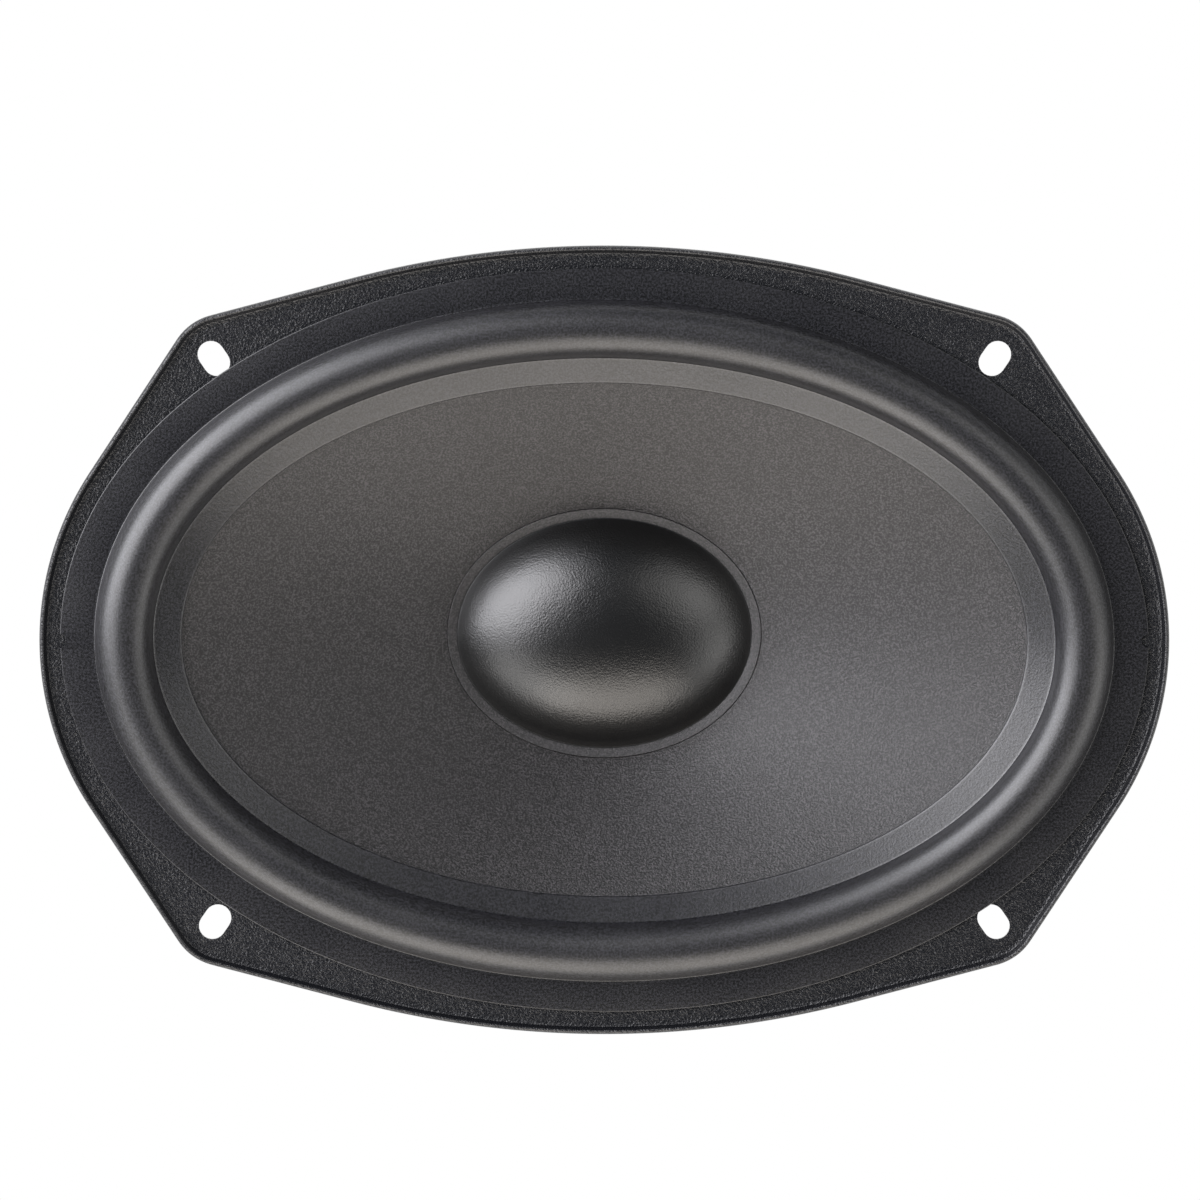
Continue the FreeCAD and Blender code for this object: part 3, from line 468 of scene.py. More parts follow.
def wall(drop):
    """Stations down the bowl, on its inner face (0) or its outer face (a sheet's drop)."""
    skirt_foot = station(SKIRT_FOOT, drop, SKIRT_FOOT.z - drop)
    landing = station(AXIS, LANDING_RADIUS + drop, LANDING_LEVEL - drop)
    floor = FLOOR_LEVEL + SHEET - drop
    return bent_step([
        station(BOWL_MOUTH, MOUTH_MARGIN, SHEET - drop), station(BOWL_MOUTH, drop, SHEET - drop),
        skirt_foot, *(skirt_foot.lerp(landing, share / 12) for share in range(1, 12)), landing,
        station(AXIS, CUP_RADIUS + drop, LANDING_LEVEL - drop),
        station(AXIS, CUP_RADIUS + drop, floor), station(AXIS, FLOOR_BORE, floor)], DRAW_BEND)


rings += [bowl_ring(*level) for level in wall(0)]
rings += [bowl_ring(*level) for level in reversed(wall(SHEET))]
basket = shell("basket_pressing", rings)
cutters = [prism("window", window_outline(first, second), WINDOW_LOW, WINDOW_HIGH)
           for first, second in zip(ARM_TURNS, ARM_TURNS[1:] + [ROUND])]
for across in (1, -1):
    for along in (1, -1):
        lean = math.atan2(along * math.sin(SLOT_LEAN), across * math.cos(SLOT_LEAN))
        middle = SLOT_PLACE * Vector((across, along, 1))
        cutters.append(prism("slot", slot_outline(middle, lean), -SHEET, 2 * SHEET))
combined(basket, cutters, "DIFFERENCE")

# The lug that carries the terminal board stands below the skirt on one long side.
lug_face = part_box("terminal_board")[1].y
lug_plan = rectangle(-LUG_HALF_WIDTH, lug_face, LUG_HALF_WIDTH, lug_face + SHEET)
lug = prism("lug", lug_plan, SKIRT_FOOT.z - LUG_HEIGHT, SKIRT_FOOT.z - SHEET / 2)
combined(basket, [lug], "UNION")
shade(basket)


def noise(tree, place, size, detail, roughness=0.5):
    """Noise whose features are about as large as a size."""
    return add(tree, "ShaderNodeTexNoise", {
        "Vector": place, "Scale": 1 / size, "Detail": detail, "Roughness": roughness})


def spread(tree, value, before, after=(0.0, 1.0)):
    """Value carried over from one range to another, and kept within it."""
    return add(tree, "ShaderNodeMapRange", {"Value": value, "From Min": before[0], "From Max": before[1],
                                            "To Min": after[0], "To Max": after[1]})


def bump(tree, height, strength, distance):
    """Relief of a height that is scaled by a distance."""
    return add(tree, "ShaderNodeBump", {"Height": height, "Strength": strength, "Distance": distance})


def feed(finish, **sources):
    """Links nodes or their sockets to the inputs of a material's shader."""
    tree = finish.node_tree
    for name, source in sources.items():
        if isinstance(source, bpy.types.Node):
            source = source.outputs[0]
        tree.links.new(source, tree.nodes["Principled BSDF"].inputs[name.replace("_", " ")])


def settle(piece, body, slot, finish, *nodes):
    """Gives a piece its material and its body if it has only one, and hides the CAD nodes it stands in
    for; the slot is not used.
    """
    piece.data.materials.clear()
    piece.data.materials.append(finish)
    if body:
        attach(piece, body)
    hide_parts(*nodes)


# Black polyester powder coat: baked particles leave a fine orange peel that breaks the
# light into sparks, with slightly glossier tops.
COAT_GRAIN = 0.36 * MM
powder_coat, tree, place = new_finish("black_powder_coat", "#111216", 0.28, Specular_IOR_Level=0.7)
grain = noise(tree, place, COAT_GRAIN, 3.0, 0.6)
pits = add(tree, "ShaderNodeTexVoronoi", {"Vector": place, "Scale": 0.8 / COAT_GRAIN},
           feature="SMOOTH_F1")
feed(powder_coat, Normal=bump(tree, maths(tree, "ADD", grain, pits), 0.9, 0.13 * MM),
     Roughness=spread(tree, grain, (0.35, 0.7), (0.16, 0.36)))
settle(basket, "frame", "basket_paint", powder_coat, "basket")

# ------------------------------------------------------------------------------ motor
# Zinc-plated steel top plate and vented yoke on either side of a ground ferrite ring,
# glued into one block. The top plate is held to the basket's floor by four rivets, and a
# cloth screen in the pole's vent keeps grit out of the gap.

plate_low, plate_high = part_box("top_plate")
magnet_low, magnet_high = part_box("magnet")
yoke_low, yoke_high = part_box("yoke")
rivet_low, rivet_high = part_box("basket_rivets")
screen_low, screen_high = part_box("pole_vent_screen")
PLATE_RADIUS = plate_high.x
PLATE_BORE = 14.1 * MM
PLATE_EDGE = 0.5 * MM
MAGNET_BORE = 19 * MM
MAGNET_CHAMFER = 0.8 * MM
MAGNET_EDGE = 0.25 * MM
POLE_RADIUS = 12 * MM
VENT_RADIUS = 4 * MM
VENT_FLARE = 2.5 * MM
BACK_PLATE = 5 * MM
BACK_CHAMFER = 2 * MM
FORGED_EDGE = 0.6 * MM
RIVET_CIRCLE = 33 * MM
RIVET_HEAD = 3.6 * MM
RIVET_SHANK = 2 * MM
SCREEN_HUB = 0.05 * MM
SCREEN_EDGE = 0.02 * MM
SCREEN_SPOKES = 48


def turned(name, corners, bend, count=128):
    """Closed body of revolution through (radius, level) corners with rounded edges."""
    loop = [station(AXIS, radius, level) for radius, level in corners]
    seam = (loop[0] + loop[-1]) / 2
    loop = bent_step([seam] + loop + [seam], bend)[:-1]
    return shade(shell(name, [[spot + Vector((0, 0, level)) for spot in circle(radius, count)]
                              for radius, _, level in loop]))


def tube_section(inner, outer, low, high):
    """Section of a tube as (radius, level) corners."""
    return [(inner, low), (outer, low), (outer, high), (inner, high)]


top_plate = turned("top_plate_blank", tube_section(PLATE_BORE, PLATE_RADIUS, plate_low.z, plate_high.z),
                   PLATE_EDGE)
magnet = turned("ferrite_ring", [
    (MAGNET_BORE, magnet_low.z), (magnet_high.x - MAGNET_CHAMFER, magnet_low.z),
    (magnet_high.x, magnet_low.z + MAGNET_CHAMFER), (magnet_high.x, magnet_high.z - MAGNET_CHAMFER),
    (magnet_high.x - MAGNET_CHAMFER, magnet_high.z), (MAGNET_BORE, magnet_high.z)], MAGNET_EDGE)
yoke = turned("yoke_forging", [
    (VENT_RADIUS + VENT_FLARE, yoke_low.z), (PLATE_RADIUS - BACK_CHAMFER, yoke_low.z),
    (PLATE_RADIUS, yoke_low.z + BACK_CHAMFER), (PLATE_RADIUS, yoke_low.z + BACK_PLATE),
    (POLE_RADIUS, yoke_low.z + BACK_PLATE), (POLE_RADIUS, yoke_high.z), (VENT_RADIUS, yoke_high.z),
    (VENT_RADIUS, yoke_low.z + VENT_FLARE)], FORGED_EDGE)


def vectors(tree, operation, *values, **factor):
    """Vector math node on one or two values, or on one and a factor for its Scale."""
    return add(tree, "ShaderNodeVectorMath", {**dict(enumerate(values)), **factor}, operation=operation)


def plan_place(tree, place):
    """Distance of a place from the axis, and its level."""
    parts = add(tree, "ShaderNodeSeparateXYZ", {0: place}).outputs
    flat = add(tree, "ShaderNodeCombineXYZ", {"X": parts["X"], "Y": parts["Y"]})
    return vectors(tree, "LENGTH", flat).outputs["Value"], parts["Z"]


def raised(tree, level):
    """Vector straight up to a level."""
    return add(tree, "ShaderNodeCombineXYZ", {"Z": level})


def ramp(tree, share, first, last, *between):
    """Colour ramp through stops, each a position and a hex code."""
    made = add(tree, "ShaderNodeValToRGB", {0: share})
    stops = made.color_ramp.elements
    for stop, (position, code) in zip(stops, (first, last)):
        stop.color = linear(code)
        stop.position = position
    for position, code in between:
        stops.new(position).color = linear(code)
    return made


def mix(tree, share, *colours):
    """Colour between two by a share; each is a hex code, a node or a node's socket."""
    pair = [linear(colour) if isinstance(colour, str) else colour for colour in colours]
    return add(tree, "ShaderNodeMix", {0: share, 6: pair[0], 7: pair[1]}, data_type="RGBA").outputs[2]


# Zinc plating with a clear passivate: a soft metal with a faint straw and blue cloud, and
# the fine rings that facing on a lathe leaves.
LATHE_FEED = 0.35 * MM
ZINC_CLOUD = 9 * MM
zinc, tree, place = new_finish("passivated_zinc_plate", "#b9b6ac", 0.34, Metallic=1.0)
reach, _ = plan_place(tree, place)
feed_marks = maths(tree, "SINE", maths(tree, "MULTIPLY", reach, ROUND / LATHE_FEED))
cloud = noise(tree, place, ZINC_CLOUD, 3.0)
feed(zinc, Base_Color=ramp(tree, cloud, (0.35, "#b4b6b9"), (0.68, "#bfbdb5")),
     Normal=bump(tree, feed_marks, 0.35, 0.012 * MM),
     Roughness=spread(tree, cloud, (0.3, 0.7), (0.28, 0.44)))
settle(top_plate, "frame", "zinc_steel", zinc, "top_plate")
settle(yoke, "frame", "zinc_steel", zinc, "yoke")

# Sintered ferrite: a dull dark ceramic, ground on its faces and left granular outside.
FERRITE_GRAIN = 0.8 * MM
ferrite, tree, place = new_finish("sintered_ferrite", "#2b2b2d", 0.62)
grain = noise(tree, place, FERRITE_GRAIN, 5.0)
feed(ferrite, Base_Color=ramp(tree, grain, (0.35, "#212123"), (0.65, "#363638")),
     Normal=bump(tree, grain, 0.4, 0.05 * MM))
settle(magnet, "frame", "ferrite", ferrite, "magnet")


def new_group(name, base, kinds, result):
    """Geometry node tree with a base, other inputs by label and kind, and a result."""
    tree = bpy.data.node_groups.new(name, "GeometryNodeTree")
    for label, kind in {base: "Geometry", **kinds}.items():
        tree.interface.new_socket(label, in_out="INPUT", socket_type="NodeSocket" + kind)
    tree.interface.new_socket(result, in_out="OUTPUT", socket_type="NodeSocketGeometry")
    return tree, add(tree, "NodeGroupInput").outputs


def join(tree, *parts):
    """Joins geometries, each a node or a node's socket."""
    whole = add(tree, "GeometryNodeJoinGeometry")
    for part in parts:
        tree.links.new(part.outputs[0] if isinstance(part, bpy.types.Node) else part, whole.inputs[0])
    return whole


def hand_over(tree, geometry, finish):
    """Faces a geometry with a material and makes it the tree's result."""
    faced = add(tree, "GeometryNodeSetMaterial", {"Geometry": geometry, "Material": finish})
    add(tree, "NodeGroupOutput", {0: faced})


def grow(piece, tree, values):
    """Lets a node tree, with its inputs set by label, make a piece's shape."""
    change = piece.modifiers.new(tree.name, "NODES")
    change.node_group = tree
    for item in tree.interface.items_tree:
        if item.name in values:
            change[item.identifier] = values[item.name]
    return piece


# Rivets: one node tree sets a domed head and its shank on every point of its base mesh.
tree, given = new_group("rivet_set", "Base", {
    "Head Radius": "Float", "Head Height": "Float", "Shank Radius": "Float", "Shank Length": "Float",
    "Turn": "Rotation", "Finish": "Material"}, "Rivets")
rivet_tree = tree
HEAD_FULLNESS = 2.6
head = add(tree, "GeometryNodeMeshCylinder", {
    "Vertices": 32, "Side Segments": 1, "Fill Segments": 6, "Radius": given["Head Radius"], "Depth": 1e-5})
spot_reach, spot_level = plan_place(tree, add(tree, "GeometryNodeInputPosition"))
fall = maths(tree, "POWER", maths(tree, "DIVIDE", spot_reach, given["Head Radius"]), HEAD_FULLNESS)
rise = maths(tree, "MULTIPLY", maths(tree, "SUBTRACT", 1.0, fall), given["Head Height"])
on_top = add(tree, "FunctionNodeCompare", {0: spot_level, 1: 0.0}, operation="GREATER_THAN")
domed = add(tree, "GeometryNodeSetPosition", {
    "Geometry": head, "Selection": on_top, "Offset": raised(tree, rise)})
shank = add(tree, "GeometryNodeMeshCylinder", {
    "Vertices": 24, "Radius": given["Shank Radius"], "Depth": given["Shank Length"]})
drop = maths(tree, "MULTIPLY", given["Shank Length"], -0.5)
lowered = add(tree, "GeometryNodeTransform", {"Geometry": shank, "Translation": raised(tree, drop)})
placed = add(tree, "GeometryNodeInstanceOnPoints", {
    "Points": given["Base"], "Instance": join(tree, lowered, domed), "Rotation": given["Turn"]})
hand_over(tree, add(tree, "GeometryNodeRealizeInstances", {0: placed}), given["Finish"])


def rivets(name, places, turn, head_radius, head_height, shank_radius, shank_length, finish):
    """Rivets with their heads' undersides at places, turned as one."""
    base = bpy.data.meshes.new(name)
    base.from_pydata(places, [], [])
    return shade(made_plain(grow(stand(name, base), rivet_tree, {
        "Head Radius": head_radius, "Head Height": head_height, "Shank Radius": shank_radius,
        "Shank Length": shank_length, "Turn": turn, "Finish": finish})))


floor_top = FLOOR_LEVEL + SHEET
rivet_places = [polar(math.radians(45 + 90 * number), RIVET_CIRCLE) + Vector((0, 0, floor_top))
                for number in range(4)]
basket_rivets = rivets("motor_rivets", rivet_places, (0.0, 0.0, 0.0), RIVET_HEAD,
                       rivet_high.z - floor_top, RIVET_SHANK, floor_top - rivet_low.z, zinc)
settle(basket_rivets, "frame", "zinc_steel", zinc, "basket_rivets")


def lattice(tree, place, pitch, operation):
    """Two crossed sets of bands, as the threads of a cloth lie."""
    bands = [add(tree, "ShaderNodeTexWave", {"Vector": place, "Scale": ROUND / (pitch * 20)},
                 bands_direction=direction).outputs["Fac"] for direction in ("X", "Y")]
    return maths(tree, operation, *bands)


# Screen of black nylon mesh, glued into the flare at the back of the pole's vent.
THREAD_PITCH = 0.9 * MM
vent_screen = turned("vent_mesh", tube_section(SCREEN_HUB, screen_high.x, screen_low.z, screen_high.z),
                     SCREEN_EDGE, SCREEN_SPOKES)
nylon, tree, place = new_finish("black_nylon_mesh", "#101010", 0.7)
woven = lattice(tree, place, THREAD_PITCH, "MAXIMUM")
feed(nylon, Base_Color=mix(tree, woven, "#050505", "#2c2c2c"),
     Normal=bump(tree, woven, 0.8, 0.15 * MM))
settle(vent_screen, "frame", "screen_cloth", nylon, "pole_vent_screen")

# ----------------------------------------------------------------------------- spider
# Cotton cloth dipped in resin and hot pressed into rings of waves. Its flat rim is glued
# to the basket's landing and its neck to the coil's collar.

spider_low, spider_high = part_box("spider")
CLOTH = 0.8 * MM
SPIDER_NECK = 13.55 * MM
WAVES = 4
WAVE_OUTER = 42.3 * MM
WAVE_INNER = 15.55 * MM
WAVE_HEIGHT = (spider_high.z - spider_low.z - CLOTH) / 2
SPIDER_SPOKES = 240
SPIDER_STATIONS = 200
SEAM = 0.005 * MM

spider_sizes = {"Outer Radius": spider_high.x, "Inner Radius": SPIDER_NECK, "Wave Start": WAVE_OUTER,
                "Wave End": WAVE_INNER, "Wave Height": WAVE_HEIGHT, "Cloth": CLOTH,
                "Level": LANDING_LEVEL, "Waves": float(WAVES)}
tree, given = new_group("pressed_waves", "Geometry", dict.fromkeys(spider_sizes, "Float"), "Spider")
grid = add(tree, "GeometryNodeMeshGrid", {
    "Size X": 1.0, "Size Y": 1.0, "Vertices X": SPIDER_SPOKES + 1, "Vertices Y": SPIDER_STATIONS + 1})
spot = add(tree, "GeometryNodeInputPosition")
parts = add(tree, "ShaderNodeSeparateXYZ", {0: spot}).outputs
turn = maths(tree, "MULTIPLY", parts["X"], ROUND)
# Along the section: 1 at the rim under the cloth, 0 at the neck, 1 at the rim on top.
inward = maths(tree, "ABSOLUTE", maths(tree, "MULTIPLY", parts["Y"], 2.0))
radius = spread(tree, inward, (0.0, 1.0), (given["Inner Radius"], given["Outer Radius"]))
phase = spread(tree, radius, (given["Wave Start"], given["Wave End"]), (0.0, given["Waves"]))
wave = maths(tree, "SINE", maths(tree, "MULTIPLY", phase, ROUND))
swing = maths(tree, "MULTIPLY", wave, given["Wave Height"])
thick = maths(tree, "MULTIPLY", maths(tree, "GREATER_THAN", parts["Y"], 0.0), given["Cloth"])
level = maths(tree, "ADD", maths(tree, "ADD", swing, thick), given["Level"])
target = add(tree, "ShaderNodeCombineXYZ", {
    "X": maths(tree, "MULTIPLY", radius, maths(tree, "COSINE", turn)),
    "Y": maths(tree, "MULTIPLY", radius, maths(tree, "SINE", turn)), "Z": level})
pressed = add(tree, "GeometryNodeSetPosition", {"Geometry": grid, "Position": target})
closed = add(tree, "GeometryNodeMergeByDistance", {"Geometry": pressed, "Distance": SEAM})
add(tree, "NodeGroupOutput", {0: closed})

spider = made_plain(grow(stand("spider_disc", bpy.data.meshes.new("spider_disc")), tree, spider_sizes))
closing = bmesh.new()
closing.from_mesh(spider.data)
bmesh.ops.bridge_loops(closing, edges=[edge for edge in closing.edges if edge.is_boundary])
bmesh.ops.recalc_face_normals(closing, faces=closing.faces)
closing.to_mesh(spider.data)
closing.free()
shade(spider, 50)


def bend_between(piece):
    """Takes a ring's placement into its mesh."""
    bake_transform(piece)


# Resin-stiffened cotton: a golden plain weave whose threads show as a fine lattice.
CLOTH_PITCH = 0.75 * MM
RESIN_BLOTCH = 6 * MM
spider_cloth, tree, place = new_finish("resin_dipped_cotton", "#b48a45", 0.66, Sheen_Weight=0.15)
over = lattice(tree, place, CLOTH_PITCH, "MULTIPLY")
threads = mix(tree, over, "#7a5522", "#c39a55")
feed(spider_cloth, Base_Color=mix(tree, noise(tree, place, RESIN_BLOTCH, 3.0), threads, "#8d662c"),
     Normal=bump(tree, over, 0.7, 0.12 * MM))
settle(spider, None, "spider_cloth", spider_cloth, "spider")
bend_between(spider)

# ------------------------------------------------------------------------- voice coil
# Copper wire wound on a film former, which hangs in the motor's gap. A paper collar,
# slit for the two wire ends, is where the spider and the cone are glued on.

former_low, former_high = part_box("voice_coil_former")
winding_low, winding_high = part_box("voice_coil_winding")
collar_low, collar_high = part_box("former_collar")
FORMER_WALL = 0.3 * MM
FORMER_EDGE = 0.05 * MM
COLLAR_WALL = 0.3 * MM
COLLAR_SLIT = 6 * MM
COLLAR_STEPS = 96
WIRE = 0.35 * MM
LACQUER = 0.06 * MM
SLEEVE_EDGE = 0.1 * MM
COIL_SPOKES = 72

former = turned("former_tube", tube_section(former_high.x - FORMER_WALL, former_high.x, former_low.z,
                                            former_high.z), FORMER_EDGE)


def mottled(name, colour, roughness, stain, detail, tones, relief=None, gloss=None, **sockets):
    """Material whose tone follows one noise, and so may its relief and its roughness."""
    finish, tree, place = new_finish(name, colour, roughness, **sockets)
    cloud = noise(tree, place, stain, detail)
    feed(finish, Base_Color=mix(tree, cloud, *tones))
    if relief:
        feed(finish, Normal=bump(tree, cloud, *relief))
    if gloss:
        feed(finish, Roughness=spread(tree, cloud, (0.0, 1.0), gloss))
    return finish


# Polyimide film: clear amber plastic, glossy, with a tooth in its overlap too fine to see.
amber_film = mottled("amber_polyimide_film", "#8a4a14", 0.22, stain=5 * MM, detail=2.0,
                     tones=("#7c3f0e", "#a15f22"))
settle(former, "cone_assembly", "former_film", amber_film, "voice_coil_former")

# One node tree stacks the turns of the outer layer; a lacquered sleeve fills the inner ones.
coil_sizes = {"Layer Radius": winding_high.x - WIRE / 2, "Wire Radius": WIRE / 2,
              "Bottom": winding_low.z + WIRE / 2, "Top": winding_high.z - WIRE / 2}
tree, given = new_group("coil_turns", "Sleeve", {
    **dict.fromkeys(coil_sizes, "Float"), "Turns": "Int", "Finish": "Material"}, "Coil")
levels = add(tree, "GeometryNodeMeshLine", {
    "Count": given["Turns"], "Start Location": raised(tree, given["Bottom"]),
    "Offset": raised(tree, given["Top"])}, mode="END_POINTS")


def drawn_circle(tree, radius, sides):
    """Closed curve round the Z axis."""
    return add(tree, "GeometryNodeCurvePrimitiveCircle", {"Resolution": sides, "Radius": radius})


def thickened(tree, line, radius, sides, caps=True):
    """Tube along a curve, its ends closed by caps."""
    return add(tree, "GeometryNodeCurveToMesh", {
        "Curve": line, "Profile Curve": drawn_circle(tree, radius, sides), "Fill Caps": caps})


ring = drawn_circle(tree, given["Layer Radius"], COIL_SPOKES)
one_turn = thickened(tree, ring, given["Wire Radius"], 6, caps=False)
stacked = add(tree, "GeometryNodeInstanceOnPoints", {"Points": levels, "Instance": one_turn})
real = add(tree, "GeometryNodeRealizeInstances", {0: stacked})
hand_over(tree, join(tree, real, given["Sleeve"]), given["Finish"])
coil_tree = tree

# Enamelled copper: bright red-brown metal under clear lacquer.
copper = mottled("enamelled_copper_wire", "#b5653a", 0.28, stain=4 * MM, detail=2.0,
                 tones=("#a2552e", "#c4764a"), Metallic=1.0, Coat_Weight=0.5, Coat_Roughness=0.12)

winding = turned("winding_layers", tube_section(former_high.x, winding_high.x - WIRE / 2 + LACQUER,
                                                winding_low.z, winding_high.z), SLEEVE_EDGE, COIL_SPOKES)
turn_count = int((winding_high.z - winding_low.z) / WIRE)
made_plain(grow(winding, coil_tree, {**coil_sizes, "Turns": turn_count, "Finish": copper}))
shade(winding, 60)
settle(winding, "cone_assembly", "winding_copper", copper, "voice_coil_winding")

# The collar is a bent strip, so its section is drawn once and swept round to the slit.
half_slit = math.asin(COLLAR_SLIT / 2 / collar_high.x)
collar_rings = []
for number in range(COLLAR_STEPS + 1):
    turn = half_slit - math.pi / 2 + (ROUND - 2 * half_slit) * number / COLLAR_STEPS
    collar_rings.append([polar(turn, radius) + Vector((0, 0, level)) for radius, level in tube_section(
        collar_high.x - COLLAR_WALL, collar_high.x, collar_low.z, collar_high.z)])
collar = shade(shell("collar_strip", collar_rings, closed=False))

# Kraft paper: brown, matt, with short fibres lying in the sheet.
kraft = mottled("kraft_paper", "#7a5c38", 0.85, stain=0.6 * MM, detail=4.0,
                tones=("#66492a", "#8f6e47"), relief=(0.3, 0.03 * MM))
settle(collar, "cone_assembly", "collar_paper", kraft, "former_collar")

# ------------------------------------------------------------------------------- cone
# Wood pulp felted on a screen and pressed: round at the neck, oval at the edge, straight
# sided between, with a band round the edge that the surround is glued to.

cone_low, cone_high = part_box("cone")
cap_low, cap_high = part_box("dust_cap")
CONE_WALL = 0.9 * MM
NECK_RADIUS = 13.35 * MM
INNER_LAND = 5.3 * MM
LAND_FALL = 2.15 * MM
CAP_SKIRT = 2.2 * MM
CAP_SEAT = cap_low.z - 0.1 * MM
SEAT_FALL = 0.3 * MM
# The step round the cap's seat, from its foot to its top, and how far out each stands.
SEAT_STEP = 0.95 * MM
STEP_FOOT = 0.02 * MM
STEP_TOP = 0.12 * MM
# Shares of the straight side where it is divided, with a narrow strip at either end.
SIDE_SHARES = (0.015, 0.1, 0.2, 0.3, 0.4, 0.5, 0.6, 0.7, 0.8, 0.9, 0.99)
EYELET_SPOT = Vector((8.61, -17.95, -26.6)) * MM
EYELET_REARWARD = Vector((0.198, -0.61, -0.767)).normalized()
EYELET_RADIUS = 1.1 * MM
EYELET_PLAY = 0.1 * MM


def oval(long_half, short_half, level, spokes=480):
    """Level oval whose corners stand at even turns of its normal, so offsets stay square."""
    ring = []
    for number in range(spokes):
        across = long_half * math.cos(ROUND * number / spokes)
        along = short_half * math.sin(ROUND * number / spokes)
        reach = math.hypot(across, along)
        ring.append(Vector((long_half * across / reach, short_half * along / reach, level)))
    return ring


def rod(name, start, end, radius, sides=24):
    """Round bar between two points."""
    lean = (end - start).to_track_quat("Z", "Y").to_matrix()
    return shell(name, [[end_point + lean @ spot for spot in circle(radius, sides)]
                        for end_point in (start, end)], closed=False)


def eyelet_place(side):
    """Middle and rearward axis of the eyelet at the left (-1) or at the right (1)."""
    mirror = Vector((side, 1, 1))
    return EYELET_SPOT * mirror, EYELET_REARWARD * mirror


edge = (cone_high.x, cone_high.y)
land_foot = station(edge, -INNER_LAND, cone_high.z - LAND_FALL)
front = [station(AXIS, NECK_RADIUS, cone_low.z + CONE_WALL),
         station(cap_high, -CAP_SKIRT, CAP_SEAT - SEAT_FALL), station(cap_high, STEP_FOOT, CAP_SEAT),
         station(cap_high, STEP_TOP, CAP_SEAT + SEAT_STEP)]
front += [front[-1].lerp(land_foot, share) for share in SIDE_SHARES]
front += [land_foot, station(edge, 0, cone_high.z)]
rear = [corner - Vector((0, 0, CONE_WALL)) for corner in reversed(front)]
cone = shell("cone_pressing", [oval(*corner) for corner in front + rear])
holes = []
for side in (-1, 1):
    middle, axis = eyelet_place(side)
    through = axis * 2 * CONE_WALL
    holes.append(rod("eyelet_hole", middle - through, middle + through, EYELET_RADIUS + EYELET_PLAY))
combined(cone, holes, "DIFFERENCE")
shade(cone, 24)

# Dyed pulp: matt charcoal with near-black and paler flecks of fibre about 0.4 mm long,
# which break up the light, and a faint cloud where the felt is thicker.
FLECK = 0.42 * MM
FELT_CLOUD = 14 * MM
pulp, tree, place = new_finish("dyed_wood_pulp", "#1c1b1c", 0.43, Specular_IOR_Level=0.6)
flecks = noise(tree, place, FLECK, 3.0, 0.6)
fibres = ramp(tree, flecks, (0.41, "#020202"), (0.62, "#464345"), (0.5, "#242324"))
cover = maths(tree, "MULTIPLY", noise(tree, place, FELT_CLOUD, 2.0), 0.4)
feed(pulp, Base_Color=mix(tree, cover, fibres, "#1f1d1c"), Normal=bump(tree, flecks, 1.0, 0.16 * MM))
settle(cone, "cone_assembly", "pulp", pulp, "cone")

# --------------------------------------------------------------- eyelets and coil ends
# A tinned eyelet clinched through the cone on each side joins a coil end, which runs up
# the collar's slit and along the cone's front, to a braided lead behind the cone.

EYELET_FLANGE = 1.9 * MM
EYELET_LIP = 0.3 * MM
EYELET_BORE = 0.5 * MM
EYELET_EDGE = 0.12 * MM
EYELET_SPOKES = 32
COIL_WIRE = 0.15 * MM
WIRE_SPACING = 3.8 * MM
WIRE_LIFT = 0.2 * MM

half_barrel = CONE_WALL / 2 + EYELET_LIP + EYELET_PLAY
under_lip = half_barrel - EYELET_LIP
eyelet_half = [(EYELET_BORE, half_barrel), (EYELET_FLANGE, half_barrel), (EYELET_FLANGE, under_lip),
               (EYELET_RADIUS, under_lip)]
eyelet_profile = [(radius, -level) for radius, level in eyelet_half] + eyelet_half[::-1]


def joined(name, pieces):
    """One piece made of several."""
    form = bmesh.new()
    for piece in pieces:
        form.from_mesh(piece.data)
        bpy.data.objects.remove(piece)
    mesh = bpy.data.meshes.new(name)
    form.to_mesh(mesh)
    form.free()
    return stand(name, mesh)


def drawn_line(name, points, resolution, count=1):
    """Curve object with one or more smooth lines through points."""
    line = bpy.data.curves.new(name, "CURVE")
    line.dimensions = "3D"
    line.resolution_u = resolution
    for _ in range(count):
        spline = line.splines.new("NURBS")
        spline.points.add(len(points) - 1)
        for point, place in zip(spline.points, points):
            point.co = (*place, 1)
        spline.order_u = 3
        spline.use_endpoint_u = True
    return stand(name, line)


def as_mesh(name, drawn):
    """Piece with the mesh of a curve object, which it replaces."""
    mesh = shown_mesh(drawn)
    bpy.data.objects.remove(drawn)
    return stand(name, mesh)


eyelets = []
coil_ends = []
for side in (-1, 1):
    middle, axis = eyelet_place(side)
    eyelet = turned("eyelet", eyelet_profile, EYELET_EDGE, EYELET_SPOKES)
    eyelet.data.transform(Matrix.Translation(middle) @ axis.to_track_quat("Z", "Y").to_matrix().to_4x4())
    eyelets.append(eyelet)
    foot_x = side * WIRE_SPACING / 2
    foot_y = -math.sqrt((former_high.x + WIRE_LIFT) ** 2 - foot_x ** 2)
    drawn = drawn_line("coil_end", [
        Vector((foot_x, foot_y, winding_high.z + 0.05 * MM)), Vector((foot_x, foot_y, collar_high.z + MM)),
        middle - axis * (half_barrel + WIRE_LIFT)], 8)
    drawn.data.bevel_depth = COIL_WIRE
    drawn.data.bevel_resolution = 1
    drawn.data.use_fill_caps = True
    coil_ends.append(as_mesh("coil_end", drawn))

